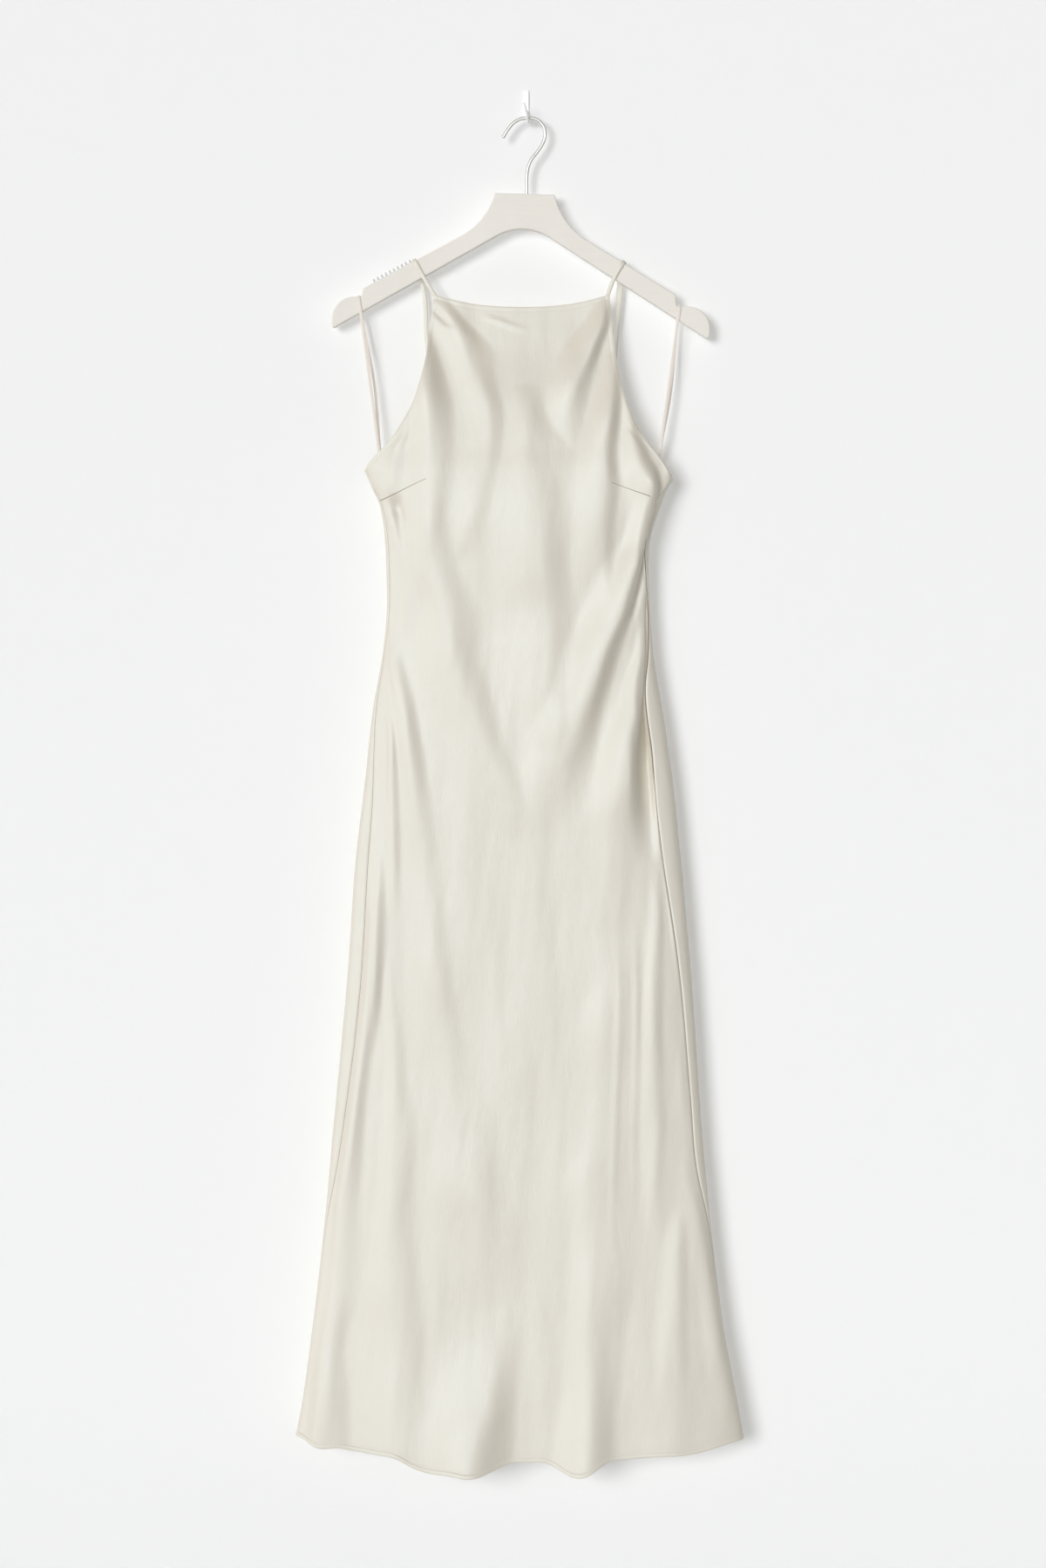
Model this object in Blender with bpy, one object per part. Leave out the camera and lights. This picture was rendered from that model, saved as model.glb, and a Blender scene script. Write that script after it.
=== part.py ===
"""High neck slip dress on a flat hanger, hung from a small wall hook.

The wall is the plane y = 0 and the dress hangs in front of it, towards -Y.
The origin is on the wall, at the centre of the hook plate. Lengths in the tables are
millimetres: x to the right, drop down from the origin, depth out from the wall.
"""

import math
from collections import namedtuple

import bmesh
import bpy
import numpy as np
from mathutils import Vector

MM = 0.001

# Cloth
WALL = 1.5
SEAM_GAP = 0.3
REST_GAP = 0.3
OVER_EASE = 0.25
SEWN_EASE = 0.6
ROUNDNESS = 2.3
SIDE_SHARE = 0.45
SEAM_FADE_COLUMNS = 3

# Heights of the dress, as drops from the origin
NECK_DROP = 225.0
NECK_DIP = 15.0
UNDERARM_DROP = 427.0
UNDERARM_TILT = 10.0
WAIST_DROP = 640.0
HEM_DROP = 1540.0
HEM_BLEND = 250.0
NECK_BLEND = 150.0
BACK_TOP_BLEND = 270.0
SEAM_FADE_DROP = 360.0
SEAM_FADE_RUN = 60.0

# Hem line: longest in the middle, and shorter towards each side
HEM_MIDDLE = 20.0
HEM_SIDE = 25.0
HEM_HALF = 257.0

# Rows and columns of the cloth grids
BODICE_ROWS = 14
SKIRT_ROWS = 30
ROW_CROWDING = 1.35
RING_STEPS = 720
FRONT_COLUMNS = 42
BACK_COLUMNS = 30

# Hanger, in its own frame: x from the middle, drop from the top of its neck
HANGER_X = -2.0
HANGER_DROP = 108.8
HANGER_TILT = math.radians(1.7)
HANGER_BACK = 12.0
HANGER_THICK = 12.0
HANGER_EDGE = 1.5
NOTCH_LEFT = 184.0
NOTCH_RIGHT = 178.5
NOTCH_FLOOR = 124.0
GRIP_START = 127.0
GRIP_END = 172.0
GRIP_TEETH = 10
GRIP_HEIGHT = 2.4
GRIP_THICK = 8.0

# Wire, tapes and wall hook
WIRE_WIDTH = 4.0
WIRE_DEPTH = 18.0
WIRE_SOCKET = 12.0
STRAP_WIDTH = 5.0
STRAP_THICK = 2.0
LOOP_WIDTH = 3.5
LOOP_THICK = 1.0
PLATE_WIDTH = 6.0
PLATE_HEIGHT = 30.0
PLATE_THICK = 2.0
PRONG_WIDTH = 3.2
PRONG_SIDES = 10

Form = namedtuple("Form", "drop left right front back")
FORM = [
    Form(225, -190, 172, 30, 10),
    Form(290, -190, 172, 36, 10),
    Form(360, -190, 172, 46, 10),
    Form(405, -189, 172, 51, 11),
    Form(427, -186, 171, 54, 11),
    Form(437, -182, 168.5, 55, 11),
    Form(447, -178, 162.5, 56, 11),
    Form(465, -169.5, 155.5, 58, 12),
    Form(485, -165, 148.5, 57, 12),
    Form(510, -162.5, 142, 55.5, 12),
    Form(540, -161, 140.5, 53.5, 12),
    Form(590, -160.5, 142, 51, 12),
    Form(640, -165.5, 146, 50.5, 12),
    Form(700, -176, 156, 51, 13),
    Form(780, -185, 167, 52, 14),
    Form(890, -197.5, 179, 52, 14),
    Form(1010, -206, 189.5, 53, 15),
    Form(1150, -218.5, 198.5, 55, 16),
    Form(1290, -231.5, 211, 58, 17),
    Form(1410, -245.5, 226, 61, 18),
    Form(1500, -258, 242.5, 64, 18),
    Form(1580, -274, 256, 66, 18),
]

Armhole = namedtuple("Armhole", "drop left right")
ARMHOLE = [
    Armhole(225, -106, 95.5),
    Armhole(268, -112, 99.2),
    Armhole(293, -114.5, 102),
    Armhole(323, -121, 107.5),
    Armhole(353, -131.5, 115.3),
    Armhole(378, -145.5, 126.5),
    Armhole(398, -160, 140),
    Armhole(413, -175, 152.5),
    Armhole(427, -185, 162),
    Armhole(437, -186, 167.5),
]

Seam = namedtuple("Seam", "drop left right")
SEAM_INSET = [
    Seam(427, 1, 3),
    Seam(437, 1, 1),
    Seam(465, 2, 6),
    Seam(510, 3, 5),
    Seam(600, 2, 2),
    Seam(640, 1.5, 6),
    Seam(670, 2, 14),
    Seam(756, 7, 19.5),
    Seam(815, 12, 22),
    Seam(875, 14.5, 21),
    Seam(990, 16.5, 14),
    Seam(1143, 13, 10),
    Seam(1235, 7, 9),
    Seam(1300, 1, 1.5),
    Seam(1380, 0.3, 0.3),
    Seam(1560, 0.3, 0.3),
]

Fold = namedtuple("Fold", "x1 drop1 x2 drop2 x3 drop3 left right height rise fall")
FRONT_FOLDS = [
    Fold(-104, 225, -47, 365, -76, 610, 40, 22, 7, 30, 170),
    Fold(-108, 262, -107, 400, -104, 545, 16, 24, 7, 30, 80),
    Fold(90, 230, 56, 300, 36, 380, 32, 18, 7, 30, 80),
    Fold(97, 262, 92, 380, 91, 545, 24, 16, 7, 30, 100),
    Fold(106, 300, 122, 370, 134, 440, 16, 14, 4, 30, 40),
    Fold(2, 350, 24, 510, 28, 700, 34, 26, 5, 80, 120),
    Fold(-120, 500, -80, 615, -24, 780, 30, 22, 5, 60, 90),
    Fold(-154, 600, -141, 700, -112, 840, 16, 18, 4, 50, 70),
    Fold(134, 470, 84, 636, 30, 860, 40, 20, 9, 40, 160),
    Fold(134, 540, 131, 700, 129, 900, 16, 18, -8, 90, 120),
    Fold(92, 900, 96, 1040, 92, 1220, 60, 30, 5, 90, 110),
    Fold(-109, 930, -104, 1010, -100, 1100, 40, 22, 3, 60, 60),
    Fold(-52, 1160, -50, 1230, -40, 1300, 30, 22, 3, 50, 50),
    Fold(-205, 1200, -217, 1370, -233, 1560, 16, 22, 6, 90, 1),
    Fold(-164, 1270, -158, 1410, -150, 1570, 34, 34, 4, 90, 1),
    Fold(-22, 1380, -45, 1480, -62, 1590, 70, 26, 13, 150, 1),
    Fold(86, 1030, 77, 1290, 68, 1590, 44, 18, 9, 260, 1),
    Fold(146, 950, 147, 1080, 150, 1230, 20, 16, 4, 70, 80),
    Fold(160, 1300, 168, 1410, 180, 1570, 22, 16, 3, 90, 1),
]
BACK_FOLDS = [
    Fold(-88, 440, -70, 560, -40, 700, 22, 30, 3, 40, 110),
    Fold(84, 440, 62, 550, 30, 680, 30, 22, 3, 40, 110),
    Fold(-120, 640, -128, 860, -140, 1080, 24, 34, 4, 110, 160),
    Fold(112, 700, 122, 920, 138, 1180, 34, 24, 4, 110, 160),
    Fold(-30, 860, -34, 1150, -60, 1570, 46, 34, 4, 200, 1),
    Fold(62, 980, 66, 1240, 84, 1570, 34, 46, 5, 200, 1),
    Fold(-150, 1150, -160, 1350, -176, 1570, 34, 30, 5, 160, 1),
    Fold(170, 1220, 176, 1380, 190, 1570, 30, 28, 4, 150, 1),
]

Wave = namedtuple("Wave", "x half depth")
FRONT_HEM = [Wave(-78, 95, 13), Wave(60, 52, 11)]
BACK_HEM = [Wave(-110, 90, 5), Wave(90, 80, 4)]

BackTop = namedtuple("BackTop", "x rise")
BACK_TOP = [
    BackTop(-186, 0),
    BackTop(-140, 4),
    BackTop(-98, 11),
    BackTop(-80, -12),
    BackTop(-50, -42),
    BackTop(-4, -56),
    BackTop(42, -40),
    BackTop(73, -8),
    BackTop(91, 16),
    BackTop(132, 8),
    BackTop(170, 0),
]

Corner = namedtuple("Corner", "x drop radius")
NECK_CORNER = Corner(34.5, 0, 1.2)
SHOULDER_CORNER = Corner(44.2, 34.7, 82)
TIP_CORNER = Corner(218.5, 123.5, 26)
END_CORNER = Corner(217.5, 162, 3)
ARCH_CORNER = Corner(0, 30.7, 58)
ARM_SLOPE = 0.573

Place = namedtuple("Place", "x drop depth")
WIRE_ROUTE = [
    Place(0.25, 103, WIRE_DEPTH),
    Place(0.2, 92, WIRE_DEPTH),
    Place(1.6, 79, WIRE_DEPTH),
    Place(5.2, 69.5, WIRE_DEPTH),
    Place(11.6, 61, WIRE_DEPTH),
    Place(18.3, 51, WIRE_DEPTH),
    Place(21.4, 42, WIRE_DEPTH),
    Place(20.6, 33, WIRE_DEPTH),
    Place(15.6, 25.4, WIRE_DEPTH),
    Place(8.5, 21.5, WIRE_DEPTH),
    Place(1, 20.9, WIRE_DEPTH),
    Place(-7, 22.2, WIRE_DEPTH),
    Place(-14.4, 26, WIRE_DEPTH),
    Place(-20.6, 33, WIRE_DEPTH),
    Place(-26.5, 42.5, WIRE_DEPTH),
]
PRONG_ROUTE = [
    Place(0.6, 11, 0.6),
    Place(0.7, 11.6, 3.2),
    Place(1.2, 17.5, 7),
    Place(1.7, 22.8, 10.8),
    Place(2, 24.9, 15.5),
    Place(1.8, 24.6, 20),
    Place(0.8, 21, 24.3),
    Place(-0.8, 14, 26.2),
    Place(-3, 6.5, 27),
]

Strap = namedtuple("Strap", "name side neck_x arm_x under_x middle_x back_x")
STRAPS = [
    Strap("strap_left", -1, -100, 124.5, -120, -115, -98),
    Strap("strap_right", 1, 90, 115.5, 108, 102.5, 91),
]
TUCK = 10.0
STRAP_BACK_DROP = 418.0

Loop = namedtuple("Loop", "name side notch end_x")
LOOPS = [
    Loop("hanger_loop_left", -1, NOTCH_LEFT, -165),
    Loop("hanger_loop_right", 1, NOTCH_RIGHT, 148.5),
]
LOOP_STEP = 3.2
LOOP_END_DROP = 441.0

Finish = namedtuple("Finish", "name colour roughness metallic")
SATIN = Finish("satin", (0.80, 0.775, 0.71), 0.36, 0.0)
TAPE = Finish("tape", (0.80, 0.74, 0.68), 0.45, 0.0)
PAINTED_WOOD = Finish("painted_wood", (0.80, 0.77, 0.72), 0.6, 0.0)
BRUSHED_STEEL = Finish("steel", (0.72, 0.71, 0.69), 0.28, 1.0)
WHITE_PAINT = Finish("white_paint", (0.85, 0.85, 0.85), 0.4, 0.0)


def remove_objects():
    """Empty the scene."""
    for item in list(bpy.data.objects):
        bpy.data.objects.remove(item, do_unlink=True)


def make_material(name, finish):
    """Principled material of one sub-part."""
    material = bpy.data.materials.new(name + "_" + finish.name)
    material.use_nodes = True
    shader = material.node_tree.nodes["Principled BSDF"]
    shader.inputs["Base Color"].default_value = (*finish.colour, 1.0)
    shader.inputs["Roughness"].default_value = finish.roughness
    shader.inputs["Metallic"].default_value = finish.metallic
    return material


def make_object(name, points, faces, finish):
    """Mesh object from points in metres, shaded smooth."""
    mesh = bpy.data.meshes.new(name)
    mesh.from_pydata([tuple(point) for point in points], [], faces)
    mesh.validate()
    mesh.shade_smooth()
    mesh.set_sharp_from_angle(angle=math.radians(50))
    item = bpy.data.objects.new(name, mesh)
    bpy.context.scene.collection.objects.link(item)
    mesh.materials.append(make_material(name, finish))
    return item


def world(x, drop, depth):
    """Point in metres of an x, a drop and a depth in millimetres."""
    return np.stack(np.broadcast_arrays(x, -np.asarray(depth), -np.asarray(drop)), axis=-1) * MM


def ease(value):
    """Soft step from 0 to 1."""
    share = np.clip(value, 0.0, 1.0)
    return share * share * (3.0 - 2.0 * share)


def curve_through(keys, values, wanted):
    """Smooth curve through the values at the keys, read at the wanted places."""
    keys = np.asarray(keys, float)
    values = np.asarray(values, float)
    slopes = np.gradient(values, keys)
    wanted = np.clip(np.asarray(wanted, float), keys[0], keys[-1])
    cell = np.clip(np.searchsorted(keys, wanted) - 1, 0, len(keys) - 2)
    width = keys[cell + 1] - keys[cell]
    t = (wanted - keys[cell]) / width
    start = (1 + 2 * t) * (1 - t) ** 2 * values[cell] + t * (1 - t) ** 2 * width * slopes[cell]
    end = t * t * (3 - 2 * t) * values[cell + 1] + t * t * (t - 1) * width * slopes[cell + 1]
    return start + end


def column(table, name, wanted):
    """One column of a table, read smoothly at the wanted drops."""
    return curve_through([row.drop for row in table], [getattr(row, name) for row in table], wanted)


def ring_sizes(drop):
    """Middle, half width, side depth, front reach and back reach of the dress at a drop."""
    left = column(FORM, "left", drop)
    right = column(FORM, "right", drop)
    front = column(FORM, "front", drop)
    back = column(FORM, "back", drop)
    side = back + SIDE_SHARE * (front - back)
    return (left + right) / 2, (right - left) / 2, side, front - side, side - back


def ring_point(angle, drop):
    """Place and outward direction on the rounded ring; angle 0 is the front, +90 degrees the right."""
    middle, half, side, front, back = ring_sizes(drop)
    across = np.sign(np.sin(angle)) * np.abs(np.sin(angle)) ** (2 / ROUNDNESS)
    out = np.sign(np.cos(angle)) * np.abs(np.cos(angle)) ** (2 / ROUNDNESS)
    reach = np.where(out >= 0, front, back)
    lean_x = np.sign(across) * np.abs(across) ** (ROUNDNESS - 1) / half
    lean_depth = np.sign(out) * np.abs(out) ** (ROUNDNESS - 1) / reach
    length = np.hypot(lean_x, lean_depth)
    return middle + half * across, side + reach * out, lean_x / length, lean_depth / length


def front_inset(drop, side):
    """How far inside the outline the front panel ends: at its armhole edge, then its side seam."""
    name = "left" if side < 0 else "right"
    corner = UNDERARM_DROP + (UNDERARM_TILT if side > 0 else 0.0)
    if drop <= corner + 0.01:
        return side * (column(FORM, name, drop) - column(ARMHOLE, name, drop))
    keys = [row.drop for row in SEAM_INSET]
    insets = np.array([getattr(row, name) for row in SEAM_INSET], float)
    root = curve_through(keys, np.sign(insets) * np.sqrt(np.abs(insets)), drop)
    return root * abs(root)


def seam_angle(drop, side):
    """Ring angle of the front panel's end on one side."""
    inset = front_inset(drop, side)
    half = ring_sizes(drop)[1]
    angle = np.arcsin((1 - abs(inset) / half) ** (ROUNDNESS / 2))
    return side * (angle if inset >= 0 else math.pi - angle)


def even_angles(start, end, drop, count):
    """Ring angles of evenly spaced columns, half a seam gap clear of both ends."""
    dense = np.linspace(start, end, RING_STEPS + 1)
    x, depth, _, _ = ring_point(dense, drop)
    run = np.concatenate([[0.0], np.cumsum(np.hypot(np.diff(x), np.diff(depth)))])
    stops = np.linspace(SEAM_GAP / 2, run[-1] - SEAM_GAP / 2, count + 1)
    return np.interp(stops, run, dense)


def fold_height(folds, x, drop):
    """Outward height of all the folds: each is a crest with a soft left and a steeper right side."""
    total = np.zeros_like(x)
    for fold in folds:
        keys = [fold.drop1, fold.drop2, fold.drop3]
        crest = np.polyval(np.polyfit(keys, [fold.x1, fold.x2, fold.x3], 2), drop)
        away = x - crest
        width = np.where(away < 0, fold.left, fold.right)
        shape = 0.5 + 0.5 * np.cos(np.pi * np.clip(away / width, -1, 1))
        along = ease((drop - fold.drop1) / fold.rise) * ease((fold.drop3 - drop) / fold.fall)
        total += fold.height * shape * along
    return total


def hem_offset(x, waves):
    """How far the hem lies below its even line, longest in the middle."""
    offset = HEM_MIDDLE - HEM_SIDE * np.abs(x / HEM_HALF) ** 2.5
    for wave in waves:
        offset += wave.depth * (0.5 + 0.5 * np.cos(np.pi * np.clip((x - wave.x) / wave.half, -1, 1)))
    return offset


def front_row(row_drop):
    """Ring angles and drops of one row of the front."""
    share = np.linspace(0, 1, FRONT_COLUMNS + 1)
    tilt = UNDERARM_TILT * row_tilt(row_drop)
    dip = NECK_DIP * (1 - np.abs(2 * share - 1) ** 2.4)
    dip *= 1 - ease((row_drop - NECK_DROP) / NECK_BLEND)
    start = seam_angle(row_drop + hem_end(row_drop, -1), -1)
    end = seam_angle(row_drop + tilt + hem_end(row_drop, 1), 1)
    angle = even_angles(start, end, row_drop, FRONT_COLUMNS)
    x = ring_point(angle, row_drop)[0]
    drop = row_drop + tilt * share + dip + hem_offset(x, FRONT_HEM) * hem_share(row_drop)
    drop[0] = row_drop + hem_end(row_drop, -1)
    drop[-1] = row_drop + tilt + hem_end(row_drop, 1)
    return angle, drop


def back_row(row_drop):
    """Ring angles and drops of one row of the back, from the right seam round to the left."""
    share = np.linspace(1, 0, BACK_COLUMNS + 1)
    tilt = UNDERARM_TILT * row_tilt(row_drop)
    start = seam_angle(row_drop + tilt + hem_end(row_drop, 1), 1)
    end = 2 * math.pi + seam_angle(row_drop + hem_end(row_drop, -1), -1)
    angle = even_angles(start, end, row_drop, BACK_COLUMNS)
    x = ring_point(angle, row_drop)[0]
    rise = curve_through([row.x for row in BACK_TOP], [row.rise for row in BACK_TOP], x)
    rise *= 1 - ease((row_drop - UNDERARM_DROP) / BACK_TOP_BLEND)
    drop = row_drop + tilt * share - rise + hem_offset(x, BACK_HEM) * hem_share(row_drop)
    drop[0] = row_drop + tilt + hem_end(row_drop, 1)
    drop[-1] = row_drop + hem_end(row_drop, -1)
    return angle, drop


def row_tilt(row_drop):
    """Share of the underarm tilt in a row: the right underarm hangs lower than the left."""
    below = 1 - ease((row_drop - UNDERARM_DROP) / (WAIST_DROP - UNDERARM_DROP))
    above = ease((row_drop - NECK_DROP) / (UNDERARM_DROP - NECK_DROP))
    return below if row_drop > UNDERARM_DROP else above


def hem_share(row_drop):
    """Share of the hem's own line in a row."""
    return ease((row_drop - HEM_DROP + HEM_BLEND) / HEM_BLEND)


def hem_end(row_drop, side):
    """Extra drop of a row at a side seam."""
    x = column(FORM, "left" if side < 0 else "right", row_drop)
    return float(hem_offset(x, []) * hem_share(row_drop))


def row_drops(with_bodice):
    """Even drops of the rows, close together at the underarm."""
    skirt = np.linspace(0, 1, SKIRT_ROWS + 1) ** ROW_CROWDING
    rows = list(UNDERARM_DROP + (HEM_DROP - UNDERARM_DROP) * skirt)
    if not with_bodice:
        return rows
    bodice = (1 - np.linspace(0, 1, BODICE_ROWS + 1)[:-1]) ** ROW_CROWDING
    return list(UNDERARM_DROP - (UNDERARM_DROP - NECK_DROP) * bodice) + rows


def panel_points(rows, row_function, folds):
    """Grid of outer points of a panel, folds included, and the ring's own directions there."""
    grid = []
    leans = []
    for row_drop in rows:
        angle, drop = row_function(row_drop)
        x, depth, lean_x, lean_depth = ring_point(angle, drop)
        columns_in = np.minimum(np.arange(len(x)), np.arange(len(x))[::-1])
        unsewn = 1 - ease((row_drop - SEAM_FADE_DROP) / SEAM_FADE_RUN)
        seam_fade = np.maximum(ease(columns_in / SEAM_FADE_COLUMNS), unsewn)
        height = fold_height(folds, x, drop) * seam_fade
        grid.append(world(x + lean_x * height, drop, depth + lean_depth * height))
        leans.append(np.stack([lean_x, -lean_depth, np.zeros_like(x)], axis=-1))
    return np.array(grid), np.array(leans)


def wall_normals(grid, leans, rows):
    """Outward directions, the same for both panels along their side seams."""
    normal = np.cross(np.gradient(grid, axis=0), np.gradient(grid, axis=1))
    normal /= np.linalg.norm(normal, axis=2, keepdims=True)
    sewn = np.array(rows) > UNDERARM_DROP - 1
    for edge in (0, -1):
        normal[sewn, edge] = leans[sewn, edge]
    return normal


def panel_faces(rows, columns):
    """Faces of a closed wall: outer grid, inner grid, and a rim split alike along both side seams."""
    count = rows * columns
    faces = []
    for i in range(rows - 1):
        for j in range(columns - 1):
            a = i * columns + j
            b = a + columns
            faces.append((a, b, b + 1, a + 1))
            faces.append((count + a, count + a + 1, count + b + 1, count + b))
    last = (rows - 1) * columns
    for j in range(columns - 1):
        faces.append((j, j + 1, count + j + 1, count + j))
        faces.append((last + j + 1, last + j, count + last + j, count + last + j + 1))
    for i in range(rows - 1):
        left = i * columns
        low_left = left + columns
        right = low_left - 1
        low_right = right + columns
        faces.append((low_left, left, count + low_left))
        faces.append((left, count + left, count + low_left))
        faces.append((right, low_right, count + low_right))
        faces.append((right, count + low_right, count + right))
    return faces


def make_panel(name, rows, row_function, folds):
    """One cut and sewn panel as a thin closed wall."""
    outer, leans = panel_points(rows, row_function, folds)
    inner = outer - wall_normals(outer, leans, rows) * WALL * MM
    points = np.concatenate([outer.reshape(-1, 3), inner.reshape(-1, 3)])
    return make_object(name, points, panel_faces(*outer.shape[:2]), SATIN)


def route_curve(places, spacing):
    """Smooth route through places, with points about the spacing apart."""
    keys = np.array(places, float)
    steps = np.linalg.norm(np.diff(keys[:, :3], axis=0), axis=1)
    run = np.concatenate([[0.0], np.cumsum(steps)])
    stops = [0.0]
    for start, length in zip(run, steps):
        count = max(1, round(length / spacing))
        stops += [start + length * (k + 1) / count for k in range(count)]
    return np.array([curve_through(run, keys[:, k], stops) for k in range(keys.shape[1])]).T


def tape_sections(route, width, thick, sides):
    """Oval sections along a route of x, drop, depth and the slope of the width in degrees."""
    centre = world(route[:, 0], route[:, 1], route[:, 2])
    along = np.gradient(centre, axis=0)
    along /= np.linalg.norm(along, axis=1, keepdims=True)
    slope = np.radians(route[:, 3])
    across = np.stack([np.cos(slope), np.zeros_like(slope), np.sin(slope)], axis=1)
    across -= along * np.sum(across * along, axis=1, keepdims=True)
    across /= np.linalg.norm(across, axis=1, keepdims=True)
    through = np.cross(along, across)
    turn = 2 * math.pi * (np.arange(sides) + 0.5) / sides
    wide = np.cos(turn) / np.cos(turn).max() * width / 2 * MM
    deep = np.sin(turn) / np.sin(turn).max() * thick / 2 * MM
    return centre[:, None] + across[:, None] * wide[:, None] + through[:, None] * deep[:, None]


def make_tape(name, route, width, thick, finish, sides=8):
    """Closed tape or round rod swept along a route."""
    sections = tape_sections(np.array(route, float), width, thick, sides)
    rows = len(sections)
    faces = []
    for i in range(rows - 1):
        for j in range(sides):
            a = i * sides + j
            b = i * sides + (j + 1) % sides
            faces.append((a, b, b + sides, a + sides))
    faces.append(tuple(range(sides))[::-1])
    faces.append(tuple((rows - 1) * sides + j for j in range(sides)))
    return make_object(name, sections.reshape(-1, 3), faces, finish)


def arm_top(x):
    """Drop of the top edge of an arm at a distance from the middle, in the hanger's frame."""
    return SHOULDER_CORNER.drop + ARM_SLOPE * (x - SHOULDER_CORNER.x)


def from_hanger(x, drop):
    """World x and drop of a place in the hanger's frame, with the hanger's tilt."""
    c, s = math.cos(HANGER_TILT), math.sin(HANGER_TILT)
    return HANGER_X + x * c - drop * s, HANGER_DROP + x * s + drop * c


def over_edge(x, drop, slope, clearance):
    """Route over the hanger from front to back at a place on its top edge."""
    radius = HANGER_EDGE + clearance + OVER_EASE
    front = HANGER_BACK + HANGER_THICK - HANGER_EDGE
    back = HANGER_BACK + HANGER_EDGE
    up_x, up_drop = -math.sin(slope), -math.cos(slope)
    rows = []
    for depth, start, end in ((front, 0, 90), (back, 90, 180)):
        for degrees in np.linspace(start, end, 4):
            lift = radius * math.sin(math.radians(degrees)) - HANGER_EDGE
            out = radius * math.cos(math.radians(degrees))
            rows.append((x + up_x * lift, drop + up_drop * lift, depth + out, math.degrees(slope)))
    return rows


def surface_depth(x, drop, side, folds, inset):
    """Depth of a place inside a panel, at an inset from its outer face; side 1 is the front."""
    middle, half, mid_depth, front, back = ring_sizes(drop)
    across = min(abs((x - middle) / half), 1.0)
    reach = front if side > 0 else back
    out = (1 - across ** ROUNDNESS) ** (1 / ROUNDNESS)
    lean = math.hypot(across ** (ROUNDNESS - 1) / half, out ** (ROUNDNESS - 1) / reach)
    facing = out ** (ROUNDNESS - 1) / reach / lean
    height = float(fold_height(folds, np.array([x], float), np.array([drop], float))[0])
    return mid_depth + side * (reach * out + height * facing - inset / facing)


def strap_route(strap):
    """From inside the neckline over the arm and down to the inside of the back."""
    side = strap.side
    slope = -side * (math.atan(ARM_SLOPE) + side * HANGER_TILT)
    clearance = REST_GAP + STRAP_THICK / 2
    inset = WALL + REST_GAP + SEWN_EASE + STRAP_THICK / 2
    cross_x, cross_drop = from_hanger(side * strap.arm_x, arm_top(strap.arm_x))
    over = over_edge(cross_x, cross_drop, slope, clearance)
    run = math.tan(slope)
    tuck_drop = NECK_DROP + TUCK
    end_drop = STRAP_BACK_DROP + TUCK
    degrees = math.degrees(slope)
    front_leg = [
        (strap.neck_x, tuck_drop, surface_depth(strap.neck_x, NECK_DROP, 1, [], inset), degrees),
        (cross_x + run * 12, cross_drop + 12, over[0][2], degrees),
    ]
    back_leg = [
        (cross_x + run * 4, cross_drop + 6, over[-1][2], degrees * 0.8),
        (strap.under_x, cross_drop + 26, over[-1][2], degrees * 0.2),
        (strap.middle_x, 275, 11.5, 0),
        ((strap.middle_x + strap.back_x) / 2, 345, 13, 0),
    ]
    ends = [
        (strap.back_x, drop, surface_depth(strap.back_x, drop, -1, BACK_FOLDS, inset), 0)
        for drop in (STRAP_BACK_DROP - 4, end_drop)
    ]
    return route_curve(front_leg + over + back_leg + ends, 11)


def loop_route(loop):
    """From the side seam up the front of the arm, over its notch and back down behind."""
    clearance = REST_GAP + LOOP_THICK / 2
    inset = WALL + REST_GAP + SEWN_EASE + LOOP_THICK / 2
    top_x, top_drop = from_hanger(loop.side * (loop.notch + LOOP_STEP), NOTCH_FLOOR)
    over = over_edge(top_x, top_drop, -HANGER_TILT, clearance)
    back_depth = surface_depth(loop.end_x, LOOP_END_DROP, -1, BACK_FOLDS, inset)
    front_depth = back_depth + LOOP_THICK + 0.6
    rows = [(loop.end_x, LOOP_END_DROP, front_depth, 0)]
    rows.append((top_x + (loop.end_x - top_x) * 0.06, top_drop + 14, over[0][2], 0))
    rows += over
    rows.append((top_x + (loop.end_x - top_x) * 0.06, top_drop + 14, over[-1][2], 0))
    rows.append((top_x + (loop.end_x - top_x) * 0.86, 410, back_depth - 0.4, 0))
    rows.append((loop.end_x, LOOP_END_DROP, back_depth, 0))
    return route_curve(rows, 16)


def rounded_outline(corners):
    """Closed outline through the corners, each rounded to its own radius."""
    outline = []
    for index, corner in enumerate(corners):
        here = Vector((corner.x, corner.drop))
        before = (Vector(corners[index - 1][:2]) - here).normalized()
        after = (Vector(corners[(index + 1) % len(corners)][:2]) - here).normalized()
        half = before.angle(after) / 2
        centre = here + (before + after).normalized() * corner.radius / math.sin(half)
        start = here + before * corner.radius / math.tan(half) - centre
        turn = math.pi - 2 * half
        finest = 2 * math.acos(1 - min(0.15 / corner.radius, 0.012))
        count = max(2, math.ceil(turn / max(finest, math.radians(4))))
        clockwise = math.copysign(1, before.cross(after))
        for k in range(count + 1):
            angle = -clockwise * turn * k / count
            spun = Vector((start.x * math.cos(angle) - start.y * math.sin(angle),
                           start.x * math.sin(angle) + start.y * math.cos(angle)))
            outline.append(centre + spun)
    return outline


def hanger_corners(side, notch):
    """Corners of one half of the hanger, from its neck round to under its arm."""
    step = Corner(notch - 1.5, arm_top(notch - 1.5), 0.8)
    foot = Corner(notch + 0.5, NOTCH_FLOOR, 1.6)
    half = [NECK_CORNER, SHOULDER_CORNER, step, foot, TIP_CORNER, END_CORNER]
    return [corner._replace(x=side * corner.x) for corner in half]


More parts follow.
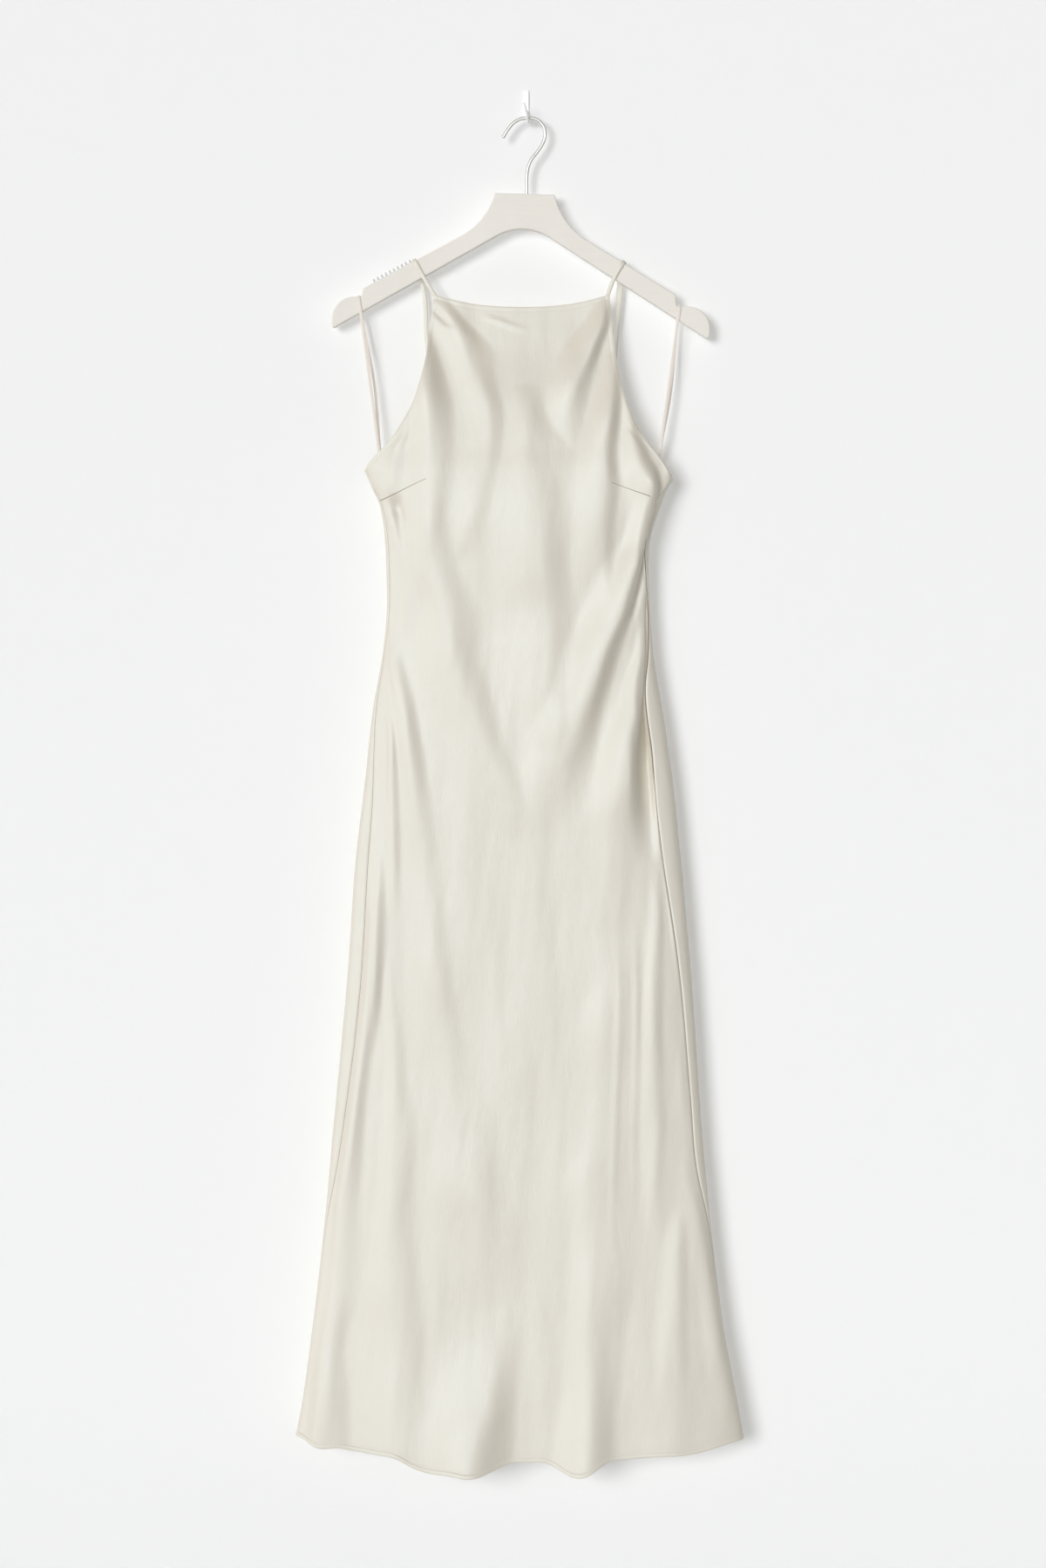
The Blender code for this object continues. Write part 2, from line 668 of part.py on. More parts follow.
def slab(name, outline, back, thick, finish):
    """Flat slab of an outline in the hanger's frame."""
    count = len(outline)
    places = [from_hanger(point[0], point[1]) for point in outline]
    points = [world(x, drop, depth) for depth in (back + thick, back) for x, drop in places]
    item = make_object(name, points, [], finish)
    mesh = bmesh.new()
    mesh.from_mesh(item.data)
    mesh.verts.ensure_lookup_table()
    mesh.faces.new([mesh.verts[k] for k in range(count)])
    mesh.faces.new([mesh.verts[count + k] for k in reversed(range(count))])
    for k in range(count):
        after = (k + 1) % count
        mesh.faces.new([mesh.verts[k], mesh.verts[count + k], mesh.verts[count + after], mesh.verts[after]])
    bmesh.ops.recalc_face_normals(mesh, faces=mesh.faces)
    mesh.to_mesh(item.data)
    mesh.free()
    return item


def grip_outline():
    """Toothed strip along the top of the left arm."""
    slope = math.atan(ARM_SLOPE)
    run = (GRIP_END - GRIP_START) / GRIP_TEETH
    outline = [(GRIP_END, arm_top(GRIP_END) + 2), (GRIP_START, arm_top(GRIP_START) + 2)]
    for k in range(GRIP_TEETH):
        for share, height in ((0.1, 0.0), (0.2, 1.0), (0.5, 1.0), (0.65, 0.0)):
            x = GRIP_START + run * (k + share)
            lift = GRIP_HEIGHT * height
            outline.append((x + lift * math.sin(slope), arm_top(x) - lift * math.cos(slope) + 0.3))
    return [(-x, drop) for x, drop in outline]


def hide_helper(item):
    """Keep a cutter or a joined shape out of the finished object."""
    item.hide_render = True
    item.display_type = "WIRE"


def add_boolean(item, other, operation):
    """Cut with another shape, or join it."""
    modifier = item.modifiers.new(other.name, "BOOLEAN")
    modifier.operation = operation
    modifier.solver = "EXACT"
    modifier.object = other
    hide_helper(other)


def make_hanger():
    """Flat painted hanger with a notch near each tip and a toothed grip on the left arm."""
    right = hanger_corners(1, NOTCH_RIGHT)
    left = hanger_corners(-1, NOTCH_LEFT)
    outline = rounded_outline(right + [ARCH_CORNER] + left[::-1])
    hanger = slab("hanger", outline, HANGER_BACK, HANGER_THICK, PAINTED_WOOD)
    bevel = hanger.modifiers.new("edges", "BEVEL")
    bevel.width = HANGER_EDGE * MM
    bevel.segments = 2
    bevel.limit_method = "ANGLE"
    bevel.angle_limit = math.radians(60)
    grip_back = HANGER_BACK + (HANGER_THICK - GRIP_THICK) / 2
    grip = slab("grip", grip_outline(), grip_back, GRIP_THICK, PAINTED_WOOD)
    add_boolean(hanger, grip, "UNION")
    socket = make_tape("socket", socket_route(), WIRE_WIDTH + 2 * REST_GAP, WIRE_WIDTH + 2 * REST_GAP,
                       PAINTED_WOOD, 12)
    add_boolean(hanger, socket, "DIFFERENCE")


def wire_foot(drop):
    """Place on the wire's straight foot at a drop in the hanger's frame."""
    x, world_drop = from_hanger(2.2, drop)
    return x, world_drop, WIRE_DEPTH


def socket_route():
    """Line of the hole for the wire, from above the neck to its floor."""
    return [(*wire_foot(drop), 0) for drop in (-5, WIRE_SOCKET + REST_GAP)]


def make_wire():
    """Hook of round wire, from its foot in the neck to its free tip."""
    places = [wire_foot(WIRE_SOCKET), wire_foot(0)] + list(WIRE_ROUTE)
    route = route_curve(places, 4.5)
    curve = bpy.data.curves.new("hanger_hook", "CURVE")
    curve.dimensions = "3D"
    curve.bevel_depth = WIRE_WIDTH / 2 * MM
    curve.bevel_resolution = 2
    curve.use_fill_caps = True
    spline = curve.splines.new("POLY")
    spline.points.add(len(route) - 1)
    for point, place in zip(spline.points, world(route[:, 0], route[:, 1], route[:, 2])):
        point.co = (*place, 1.0)
    item = bpy.data.objects.new("hanger_hook", curve)
    bpy.context.scene.collection.objects.link(item)
    curve.materials.append(make_material("hanger_hook", BRUSHED_STEEL))


def make_wall_hook():
    """Small plate flat on the wall with a prong that dips under the wire and rises in front."""
    mesh = bmesh.new()
    bmesh.ops.create_cube(mesh, size=1.0)
    for vertex in mesh.verts:
        vertex.co.x *= PLATE_WIDTH * MM
        vertex.co.y = (vertex.co.y - 0.5) * PLATE_THICK * MM
        vertex.co.z *= PLATE_HEIGHT * MM
    upright = [edge for edge in mesh.edges if abs(edge.verts[0].co.y - edge.verts[1].co.y) > 0.1 * MM]
    bmesh.ops.bevel(mesh, geom=upright, offset=2.0 * MM, segments=3, profile=0.5, affect="EDGES")
    plate = make_object("wall_hook", [], [], WHITE_PAINT)
    mesh.to_mesh(plate.data)
    mesh.free()
    route = [(*place, 0) for place in route_curve([tuple(row) for row in PRONG_ROUTE], 3.5)]
    prong = make_tape("prong", route, PRONG_WIDTH, PRONG_WIDTH, WHITE_PAINT, PRONG_SIDES)
    add_boolean(plate, prong, "UNION")


def build():
    """Make every piece."""
    remove_objects()
    make_panel("front_panel", row_drops(True), front_row, FRONT_FOLDS)
    make_panel("back_panel", row_drops(False), back_row, BACK_FOLDS)
    for strap in STRAPS:
        make_tape(strap.name, strap_route(strap), STRAP_WIDTH, STRAP_THICK, SATIN)
    for loop in LOOPS:
        make_tape(loop.name, loop_route(loop), LOOP_WIDTH, LOOP_THICK, TAPE)
    make_hanger()
    make_wire()
    make_wall_hook()


build()
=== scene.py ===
"""Looks of a long satin slip dress on a flat painted hanger, hung from a small wall hook.

The wall is the plane y = 0 and the dress hangs in front of it, towards -Y. Lengths in the
tables are millimetres: x to the right, drop down from the origin, depth out from the wall.
"""

import math
from collections import namedtuple

import bpy
import numpy as np
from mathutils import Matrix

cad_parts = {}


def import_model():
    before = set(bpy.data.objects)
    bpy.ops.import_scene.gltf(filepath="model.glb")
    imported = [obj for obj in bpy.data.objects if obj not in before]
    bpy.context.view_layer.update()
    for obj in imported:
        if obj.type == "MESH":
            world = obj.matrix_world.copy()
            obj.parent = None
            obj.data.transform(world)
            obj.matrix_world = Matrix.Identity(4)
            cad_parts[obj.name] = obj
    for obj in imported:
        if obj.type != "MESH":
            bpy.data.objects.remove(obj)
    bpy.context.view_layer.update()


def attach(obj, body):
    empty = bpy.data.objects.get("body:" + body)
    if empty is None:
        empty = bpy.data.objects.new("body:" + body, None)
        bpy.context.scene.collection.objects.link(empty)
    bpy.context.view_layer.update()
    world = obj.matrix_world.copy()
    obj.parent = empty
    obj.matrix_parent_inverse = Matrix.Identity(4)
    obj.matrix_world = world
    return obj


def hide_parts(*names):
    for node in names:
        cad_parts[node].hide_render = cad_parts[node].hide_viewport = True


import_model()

MM = 0.001

# Cloth: its thickness, the power of the ring it hangs in, where the sides lie between back and
# front, how far from a seam the folds fade out, the dip of the cloth into a seam, the share of a
# ripple that never fades, and where the ripples of the two panels start
THIN = 0.55
ROUNDNESS = 2.8
SIDE_SHARE = 0.45
SEAM_FADE = 15.0
CLOSE_FADE = 1.8
SEAM_DIP = 0.9
SEAM_DIP_WIDTH = 1.3
SEAM_TURN = 3.0
RIPPLE_STEADY = 0.6
FRONT_START = 0.0
BACK_START = 1.7

# Heights of the dress, as drops from the origin, and how far its edges shape the rows near them
NECK_DROP = 225.0
NECK_DIP = 15.0
NECK_POWER = 2.4
UNDERARM_DROP = 427.0
UNDERARM_TILT = 10.0
WAIST_DROP = 640.0
HEM_DROP = 1540.0
HEM_BLEND = 250.0
NECK_BLEND = 150.0
BACK_TOP_BLEND = 270.0
SEAM_FADE_DROP = 360.0
SEAM_FADE_RUN = 60.0
HEM_MIDDLE = 20.0
HEM_SIDE = 25.0
HEM_HALF = 257.0
HEM_POWER = 2.5

# Close steps of the cloth grids at every edge, and the even steps between
EDGE_STEPS = np.array([0, 0.6, 1.2, 1.9, 2.7, 3.6, 4.6, 5.6, 6.8, 8.5, 11])
BODICE_ROWS = 54
SKIRT_ROWS = 222
BACK_ROWS = 200
FRONT_COLUMNS = 126
BACK_COLUMNS = 104
RING_STEPS = 720

# Turned edges and the rolled hem, with the groove behind them
TURNED = 4.6
TURNED_HEIGHT = 0.35
ROLLED = 5.6
ROLLED_HEIGHT = 1.1
ROLL_REACH = 9.0
ROLL_SHARE = 0.6
GROOVE_SHARE = 0.5
GROOVE_WIDTH = 0.9

# Dark lines of painted shade in the grooves of the bust darts and the side seams
DART_WIDTH = 0.9
DART_TIP_WIDTH = 0.45
DART_DEPTH = 0.6
DART_DOME = 0.5
DART_SPACING = 2.0
SEAM_STEP = 4.0
SEAM_SUNK = 1.3
SEAM_WIDTH = 0.9
SEAM_DEPTH = 1.1
SEAM_DOME = 0.6
SEAM_WIDEST_DROP = 720.0
SEAM_WIDEST_RUN = 150.0

# Hanger, in its own frame: x from the middle, drop from the top of its neck
HANGER_X = -2.0
HANGER_DROP = 108.8
HANGER_TILT = math.radians(1.7)
HANGER_BACK = 12.0
HANGER_THICK = 12.0
HANGER_EDGE = 1.5
ARM_SLOPE = 0.573
NOTCH_LEFT = 184.0
NOTCH_RIGHT = 178.5
NOTCH_FLOOR = 124.0
NOTCH_TOP = -1.5
NOTCH_TOP_RADIUS = 1.7
NOTCH_FOOT = 0.5
NOTCH_FOOT_RADIUS = 1.6
GRIP_START = 127.0
GRIP_END = 172.0
GRIP_TEETH = 10
GRIP_HEIGHT = 4.2
GRIP_THICK = 8.0
GRIP_EDGE = 0.3
GRIP_BASE = 3.0
GRIP_SUNK = 0.3
GRIP_RADIUS = 0.4

# Sections: sides of a rod, the degrees of the rings in its end domes, the steps of an arc, of a
# rounded edge and of a route over the hanger, and how far a flat face starts inside its edge
ROD_SIDES = 20
DOME_SWING = np.array([90, 68, 45, 22])
ARC_STEP = 2.0
ARC_FEWEST = 5
EDGE_SWINGS = 6
FACE_INSET = 0.05
OVER_SWINGS = 4

# Wire, straps, loops and wall hook: sizes, the power and dome of each section, the spacing of its
# points, and how much slimmer and thinner than their solids the soft ones are
WIRE_WIDTH = 4.0
WIRE_DEPTH = 18.0
WIRE_SOCKET = 12.0
WIRE_FOOT_X = 2.2
WIRE_DOME = 1.6
WIRE_SPACING = 1.5
STRAP_WIDTH = 5.0
STRAP_THICK = 2.0
STRAP_POWER = 2.4
STRAP_BEHIND = 8.0
STRAP_BEHIND_RUN = 6.0
STRAP_SLIMMER = 0.2
STRAP_THINNER = 0.1
STRAP_SPACING = 3.0
LOOP_WIDTH = 3.5
LOOP_THICK = 1.0
LOOP_POWER = 3.6
LOOP_THINNER = 0.2
LOOP_SPACING = 3.0
PLATE_WIDTH = 6.0
PLATE_HEIGHT = 30.0
PLATE_THICK = 2.0
PLATE_RADIUS = 2.0
PLATE_EDGE = 0.7
PRONG_WIDTH = 3.2
PRONG_DOME = 1.4
PRONG_SPACING = 1.2
CLEAR = 0.3
OVER_EASE = 0.25
SEWN_EASE = 0.6
WALL = 1.5

# Strap routes: drops below the hanger's top edge, shares of the arm's slope that each stretch
# keeps, and the drop and depth of two places lower down
TUCK = 10.0
STRAP_FRONT_OFF = 12.0
STRAP_BACK_OFF = 6.0
STRAP_BACK_LEAN = 4.0
STRAP_BACK_TURN = 0.8
STRAP_UNDER = 26.0
STRAP_UNDER_TURN = 0.2
STRAP_MIDDLE = (275.0, 11.5)
STRAP_LOW = (345.0, 13.0)
STRAP_BACK_DROP = 418.0
STRAP_STRAIGHT = 4.0

# Loop routes: shares of the way from the notch to the seam, and drops
LOOP_STEP = 3.2
LOOP_OFF = 14.0
LOOP_OFF_SHARE = 0.06
LOOP_MIDDLE_SHARE = 0.5
LOOP_LOW_SHARE = 0.9
LOOP_LOW_DROP = 417.0
LOOP_LOW_EASE = 0.4
LOOP_LAYERS_APART = 0.6
LOOP_END_DROP = 441.0

# Colours of the finishes
SATIN = (0.70, 0.648, 0.562)
# Dark colour of the dart and seam lines: painted shade of their grooves
PAINTED_SEAM_SHADE = (0.27, 0.21, 0.16)
RIBBON = (0.80, 0.745, 0.69)
CREAM_PAINT = (0.79, 0.765, 0.72)
# Grey of the grip: painted shade standing for the shadows between its pale teeth
GRIP_PAINTED_SHADE = (0.60, 0.60, 0.60)
STEEL = (0.74, 0.73, 0.71)
WHITE = (0.86, 0.86, 0.86)
TONE_SPREAD = 0.22

# Room, camera and sky, in metres
PALE_WALL = (0.885, 0.893, 0.90)
PALE_FLOOR = (0.68, 0.68, 0.67)
WALL_GAP = 0.0003
WALL_TOP = 2.6
FLOOR_HEIGHT = -1.95
FLOOR_FRONT = -6.0
ROOM_HALF = 4.0
SKY = (1.0, 0.925, 0.83)
SKY_STRENGTH = 0.24
CAMERA_PLACE = (-0.004, -4.235, -0.7875)
CAMERA_SENSOR = 36.0
CAMERA_LENS = 84.1


# Tables

def table(columns, *rows):
    """Rows of a table, each with its columns named."""
    row_of = namedtuple("Row", columns)
    return [row_of(*row) for row in rows]


def fold_tables(groups):
    """Folds by name, each with rows down its crest: place, reach to the left and right, height."""
    return {name: table("drop x left right height", *rows) for name, rows in groups.items()}


FORM = table(
    "drop left right front back",
    (225, -190, 172, 30, 10), (290, -190, 172, 36, 10), (360, -190, 172, 46, 10),
    (405, -189, 172, 51, 11), (427, -186, 171, 53.6, 11), (437, -182, 168.5, 54.4, 11),
    (447, -178, 162.5, 55.1, 11), (465, -169.5, 155.5, 55.9, 12), (485, -165, 148.5, 56, 12),
    (510, -162.5, 142, 55.2, 12), (540, -161, 140.5, 53.6, 12), (590, -160.5, 142, 51, 12),
    (640, -165.5, 146, 50.5, 12), (700, -176, 156, 51, 13), (780, -185, 167, 52, 14),
    (890, -197.5, 179, 52, 14), (1010, -206, 189.5, 53, 15), (1150, -218.5, 198.5, 55, 16),
    (1290, -231.5, 211, 58, 17), (1410, -245.5, 226, 61, 18), (1500, -258, 242.5, 64, 18),
    (1580, -274, 256, 66, 18),
)
ARMHOLE = table(
    "drop left right",
    (225, -106, 95.5), (268, -112, 99.2), (293, -114.5, 102), (323, -121, 107.5),
    (353, -131.5, 115.3), (378, -145.5, 126.5), (398, -160, 140), (413, -175, 152.5),
    (427, -185, 162), (437, -186, 167.5),
)
SEAM_INSET = table(
    "drop left right",
    (427, 1, 3), (437, 1, 1), (465, 2, 6), (510, 3, 5), (600, 2, 2), (640, 1.5, 6),
    (670, 2, 14), (756, 7, 19.5), (815, 12, 22), (875, 14.5, 21), (990, 16.5, 14),
    (1143, 13, 10), (1235, 7, 9), (1300, 1, 1.5), (1380, 0.3, 0.3), (1560, 0.3, 0.3),
)
FRONT_FOLDS = fold_tables({
    "left of the neck": [
        (230, -99, 15, 9, 0), (258, -83, 27, 17, 4.6), (288, -69, 29, 32, 5.1), (328, -54, 32, 23, 5.1),
        (368, -45, 31, 22, 3.3), (408, -47, 30, 20, 1.9), (448, -58, 23, 22, 1.5),
        (488, -66, 18, 22, 1.9), (530, -71, 15, 21, 0)],
    "left bust to waist": [
        (262, -118, 12, 8, 0), (300, -116, 13, 19, 7.2), (338, -115, 21, 30, 11.1),
        (368, -112, 26, 33, 8.8), (408, -109, 31, 32, 5.8), (448, -109, 29, 28, 3.9),
        (488, -111, 25, 24, 4.6), (538, -109, 26, 36, 4.3), (588, -95, 28, 48, 6.2),
        (638, -85, 52, 36, 6.3), (688, -72, 61, 37, 5), (738, -51, 72, 32, 3.4), (788, -30, 66, 29, 2.3),
        (850, -14, 55, 32, 0)],
    "left armhole": [
        (345, -130, 9, 9, 0), (378, -139, 9, 11, 3.1), (408, -149, 11, 15, 2), (448, -157, 9, 17, 1.5),
        (468, -157, 8, 12, 0)],
    "under the left dart": [
        (458, -148, 10, 11, 0), (466, -148, 11, 10, -3.9), (488, -144, 9, 9, -2.6),
        (508, -141, 8, 8, -0.8), (526, -140, 7, 7, 0)],
    "left side to waist": [
        (466, -161, 4, 6, 0), (480, -158, 6, 8, 1.4), (505, -151, 8, 9, 1.4), (538, -143, 10, 13, 0.8),
        (588, -135, 12, 18, 0.9), (630, -128, 12, 15, 0)],
    "left waist to thigh": [
        (592, -156, 8, 10, 0), (638, -154, 10, 14, 2.3), (688, -144, 13, 17, 3.9),
        (738, -136, 16, 19, 4.8), (788, -130, 15, 21, 4.1), (838, -125, 18, 23, 2.5),
        (888, -117, 26, 23, 1.5), (948, -110, 32, 22, 2.2), (1008, -108, 34, 28, 2.9),
        (1068, -99, 39, 27, 1.2), (1128, -80, 49, 34, 0.7), (1188, -69, 46, 48, 2.1),
        (1248, -62, 66, 45, 4.1), (1308, -48, 68, 51, 1.9), (1368, -42, 65, 41, 0.2),
        (1420, -40, 53, 40, 0)],
    "first left pleat": [
        (690, -159, 6, 8, 0), (738, -155, 6, 9, 3.2), (788, -155, 7, 11, 3), (838, -154, 7, 11, 2.5),
        (888, -152, 7, 10, 1.5), (940, -152, 8, 9, 0)],
    "second left pleat": [
        (850, -170, 6, 7, 0), (900, -169, 7, 9, 2), (960, -169, 7, 10, 2.3), (1020, -172, 7, 10, 2.8),
        (1080, -176, 7, 9, 0)],
    "third left pleat": [
        (960, -160, 8, 9, 0), (1030, -157, 8, 10, 0.8), (1068, -154, 9, 16, 1.4),
        (1128, -153, 11, 20, 2.5), (1188, -152, 18, 32, 3.5), (1248, -153, 21, 30, 4.1),
        (1308, -157, 25, 35, 4.1), (1368, -157, 34, 46, 5.1), (1428, -149, 46, 46, 4.8),
        (1488, -148, 51, 51, 5.9), (1590, -153, 51, 50, 7.8)],
    "along the left seam": [
        (880, -179, 6, 11, 0), (948, -183, 7, 20, 8.5), (1008, -187, 8, 22, 10), (1068, -193, 9, 24, 8.5),
        (1128, -200, 10, 22, 8.2), (1188, -207, 10, 25, 7.7), (1248, -211, 12, 27, 5.3),
        (1308, -214, 12, 28, 3.9), (1368, -219, 12, 32, 3.5), (1428, -229, 13, 27, 5),
        (1488, -233, 17, 34, 7.6), (1590, -243, 20, 57, 4.4)],
    "middle of the bust": [
        (330, 1, 22, 22, 0), (368, 2, 24, 26, 3.4), (408, 4, 33, 52, 4.3), (448, 10, 51, 40, 4.8),
        (488, 12, 60, 39, 5.3), (538, 16, 67, 36, 6.1), (588, 20, 71, 40, 4.6), (638, 22, 66, 44, 5.1),
        (688, 24, 55, 31, 4.5), (750, 27, 43, 24, 0)],
    "right of the neck": [
        (230, 89, 8, 7, 0), (258, 86, 24, 11, 5.9), (288, 74, 36, 14, 7.7), (328, 56, 36, 22, 7.4),
        (368, 46, 29, 23, 2.1), (405, 40, 25, 20, 0)],
    "right bust": [
        (292, 99, 10, 8, 0), (328, 98, 19, 12, 4.3), (368, 94, 28, 15, 7.9), (408, 89, 35, 16, 6.4),
        (448, 91, 42, 17, 4.8), (488, 87, 37, 18, 4.1), (538, 87, 37, 15, 2.4), (585, 88, 33, 14, 0)],
    "right armhole to thigh": [
        (345, 113, 6, 9, 0), (375, 119, 10, 10, 3.2), (408, 127, 23, 15, 5.7), (440, 138, 32, 17, 6.8),
        (466, 143, 36, 10, 4.5), (490, 142, 32, 7, 4.6), (513, 136, 34, 8, 4.8), (538, 125, 42, 10, 6.6),
        (568, 115, 48, 15, 9.2), (592, 108, 52, 18, 10.9), (638, 87, 50, 26, 11.4),
        (688, 70, 48, 27, 10.3), (738, 52, 62, 31, 6.8), (788, 31, 62, 38, 2.9), (838, 16, 60, 41, 0.4),
        (910, 3, 37, 42, 0)],
    "beside the right trough": [
        (596, 136, 9, 5, 0), (638, 137, 18, 7, 5.7), (688, 129, 29, 11, 6.2), (738, 117, 33, 16, 8),
        (788, 115, 47, 22, 8), (838, 108, 59, 29, 3.4), (888, 103, 53, 31, 1.9), (960, 97, 51, 21, 0)],
    "right thigh to hem": [
        (900, 102, 32, 25, 0), (948, 100, 34, 29, 0.9), (1008, 102, 28, 46, 2.4), (1068, 96, 45, 54, 2.9),
        (1128, 90, 37, 44, 1.5), (1188, 87, 35, 44, 2.4), (1248, 80, 43, 45, 2.9),
        (1308, 81, 34, 48, 2.9), (1368, 77, 34, 52, 4.4), (1428, 72, 34, 42, 4.7),
        (1488, 70, 33, 38, 7.4), (1528, 69, 40, 38, 9.9), (1600, 68, 47, 40, 15)],
    "first right pleat": [
        (960, 105, 7, 7, 0), (1040, 106, 7, 6, 0.7), (1140, 103, 7, 6, 0.8), (1240, 99, 7, 6, 0.7),
        (1330, 97, 7, 7, 0)],
    "second right pleat": [
        (940, 124, 7, 7, 0), (1020, 126, 7, 6, 0.8), (1120, 125, 7, 6, 0.9), (1220, 122, 7, 7, 0.3),
        (1300, 122, 7, 7, 0)],
    "third right pleat": [
        (880, 151, 10, 7, 0), (948, 150, 14, 9, 2.4), (1008, 145, 13, 15, 2.6), (1068, 145, 17, 13, 2.6),
        (1128, 145, 24, 16, 2.1), (1188, 148, 23, 14, 1.9), (1248, 146, 19, 12, 1.2),
        (1310, 149, 16, 13, 0)],
    "low right pleat": [
        (1270, 175, 11, 11, 0), (1308, 173, 19, 14, 2.1), (1368, 172, 24, 14, 2.8),
        (1428, 170, 31, 19, 3.1), (1488, 171, 42, 28, 2.2), (1590, 168, 49, 38, 2.5)],
    "along the right seam": [
        (990, 176, 9, 5, 0), (1068, 179, 11, 6, -0.1), (1128, 185, 19, 7, 2.4), (1188, 190, 24, 9, 0.9),
        (1248, 196, 31, 11, 1.3), (1308, 205, 29, 14, 2.2), (1368, 214, 22, 14, 2.1),
        (1428, 221, 26, 16, 2.5), (1488, 232, 23, 18, 1.2), (1590, 242, 25, 20, -1.3)],
    "left of the hem": [
        (1385, -27, 68, 19, 0), (1428, -34, 87, 29, 2.1), (1488, -47, 95, 40, 8.5),
        (1528, -59, 90, 50, 14.2), (1600, -67, 81, 52, 20.7)],
    "soft dents in the skirt": [
        (990, -21, 16, 12, 0), (1036, -26, 15, 13, -0.4), (1095, -28, 14, 12, 0)],
    "creases at the neckline": [
        (238, -109, 8, 8, 0), (251, -98, 8, 9, -2.6), (266, -86, 8, 9, 0)],
    "first soft crease of the neck": [
        (248, -52, 12, 12, 0), (258, -28, 14, 14, 0.9), (270, 4, 14, 14, 0)],
})
SEAM_FOLDS = fold_tables({
    "right trough": [
        (570, 139, 4, 2, 0), (610, 140, 5, 2, -7), (650, 140.5, 6, 2.2, -11),
        (690, 142.6, 11, 2.4, -18.5), (730, 143, 17, 2.6, -19), (765, 142.4, 24, 3, -16),
        (795, 143, 27, 4, -11), (830, 143, 26, 8, -5), (880, 142, 20, 12, 0)],
    "fold over the right seam": [
        (418, 142, 16, 8, 0), (440, 144, 22, 9, 5.6), (466, 143, 24, 5.5, 6.4), (490, 137, 24, 4.6, 6.4),
        (513, 131.5, 24, 5, 6), (538, 124.5, 24, 6, 4.8), (568, 114, 24, 10, 2.8), (605, 101, 22, 14, 0)],
    "crease beside the right fold": [
        (455, 152, 3, 4, 0), (475, 149, 4, 5, -1.8), (511, 141, 5, 7, -2.8), (550, 132, 7, 8, -3.2),
        (588, 120.5, 9, 10, -3.2), (625, 105, 11, 12, -2.4), (677, 90, 12, 14, -1.2),
        (730, 74, 12, 14, 0)],
    "outer corner of the right underarm": [
        (410, 158, 6, 6, 0), (426, 161, 7, 6, 1.2), (440, 163, 7, 5, 1.8), (456, 157, 5, 4, 0.6),
        (466, 155, 4, 4, 0)],
    "right seam ridge": [
        (600, 142, 4, 3, 0), (700, 146, 5, 4, 0.8), (756, 147, 4, 4, 1.2), (850, 156, 5, 5, 1.4),
        (940, 168, 7, 5, 1.6), (1020, 175, 7, 5, 0)],
})
BACK_FOLDS = fold_tables({
    "left shoulder blade": [
        (440, -88, 22, 30, 0), (480, -82, 22, 30, 3), (590, -64, 24, 30, 3), (700, -40, 22, 30, 0)],
    "right shoulder blade": [
        (440, 84, 30, 22, 0), (480, 78, 30, 22, 3), (580, 56, 30, 24, 3), (680, 30, 30, 22, 0)],
    "left hip": [
        (640, -120, 24, 34, 0), (750, -123, 24, 34, 4), (920, -131, 26, 34, 4), (1080, -140, 24, 34, 0)],
    "right hip": [
        (700, 112, 34, 24, 0), (810, 117, 34, 24, 4), (1020, 128, 34, 26, 4), (1180, 138, 34, 24, 0)],
    "middle to hem": [
        (860, -30, 46, 34, 0), (1060, -32, 46, 34, 4), (1300, -42, 46, 36, 4.6), (1600, -62, 48, 36, 6)],
    "right of the middle to hem": [
        (980, 62, 34, 46, 0), (1180, 65, 34, 46, 5), (1380, 73, 36, 46, 5.4), (1600, 86, 36, 48, 6.6)],
    "left side to hem": [
        (1150, -150, 34, 30, 0), (1310, -158, 34, 30, 5), (1600, -178, 34, 30, 6)],
    "right side to hem": [
        (1220, 170, 30, 28, 0), (1370, 176, 30, 28, 4), (1600, 192, 30, 28, 5)],
    "middle of the back": [
        (500, -20, 20, 16, 0), (570, -17, 20, 16, 1.8), (700, -11, 22, 18, 1.8), (820, -6, 20, 16, 0)],
    "right of the middle": [
        (560, 28, 14, 18, 0), (640, 24, 14, 18, 1.7), (780, 20, 16, 20, 1.5), (900, 18, 14, 18, 0)],
    "left underarm": [
        (470, -140, 16, 14, 0), (520, -127, 16, 14, 2.4), (600, -108, 18, 16, 2.2), (680, -88, 16, 14, 0)],
    "right underarm": [
        (470, 134, 14, 16, 0), (520, 122, 14, 16, 2.4), (610, 104, 16, 18, 2.2), (700, 84, 14, 16, 0)],
    "left thigh": [
        (1020, -92, 14, 18, 0), (1110, -95, 14, 18, 2), (1250, -101, 16, 18, 2), (1360, -106, 14, 18, 0)],
    "low middle": [
        (1180, 18, 18, 14, 0), (1300, 15, 18, 14, 2.2), (1600, 7, 20, 16, 3.4)],
    "low right": [
        (1260, 126, 16, 14, 0), (1350, 130, 16, 14, 2.2), (1600, 142, 18, 16, 3)],
})
RIPPLES = table(
    "across down turn start height",
    (83, 940, 0.10, 0.4, 0.34), (59, 610, -0.14, 2.1, 0.26), (41, 450, 0.06, 4.4, 0.18),
    (29, 370, -0.05, 1.3, 0.11), (19, 260, 0.12, 5.2, 0.06), (140, 330, 0.35, 3.3, 0.30),
    (120, 210, -0.42, 0.9, 0.22),
)
FRONT_HEM = table(
    "x half depth",
    (-236, 26, 5), (-115, 40, 12), (-66, 58, 17), (58, 42, 17), (185, 50, 3),
)
BACK_HEM = table("x half depth", (-110, 90, 5), (90, 80, 4))
BACK_TOP = table(
    "x rise",
    (-186, 0), (-140, 4), (-98, 11), (-80, -12), (-50, -42), (-4, -56),
    (42, -40), (73, -8), (91, 16), (132, 8), (170, 0),
)

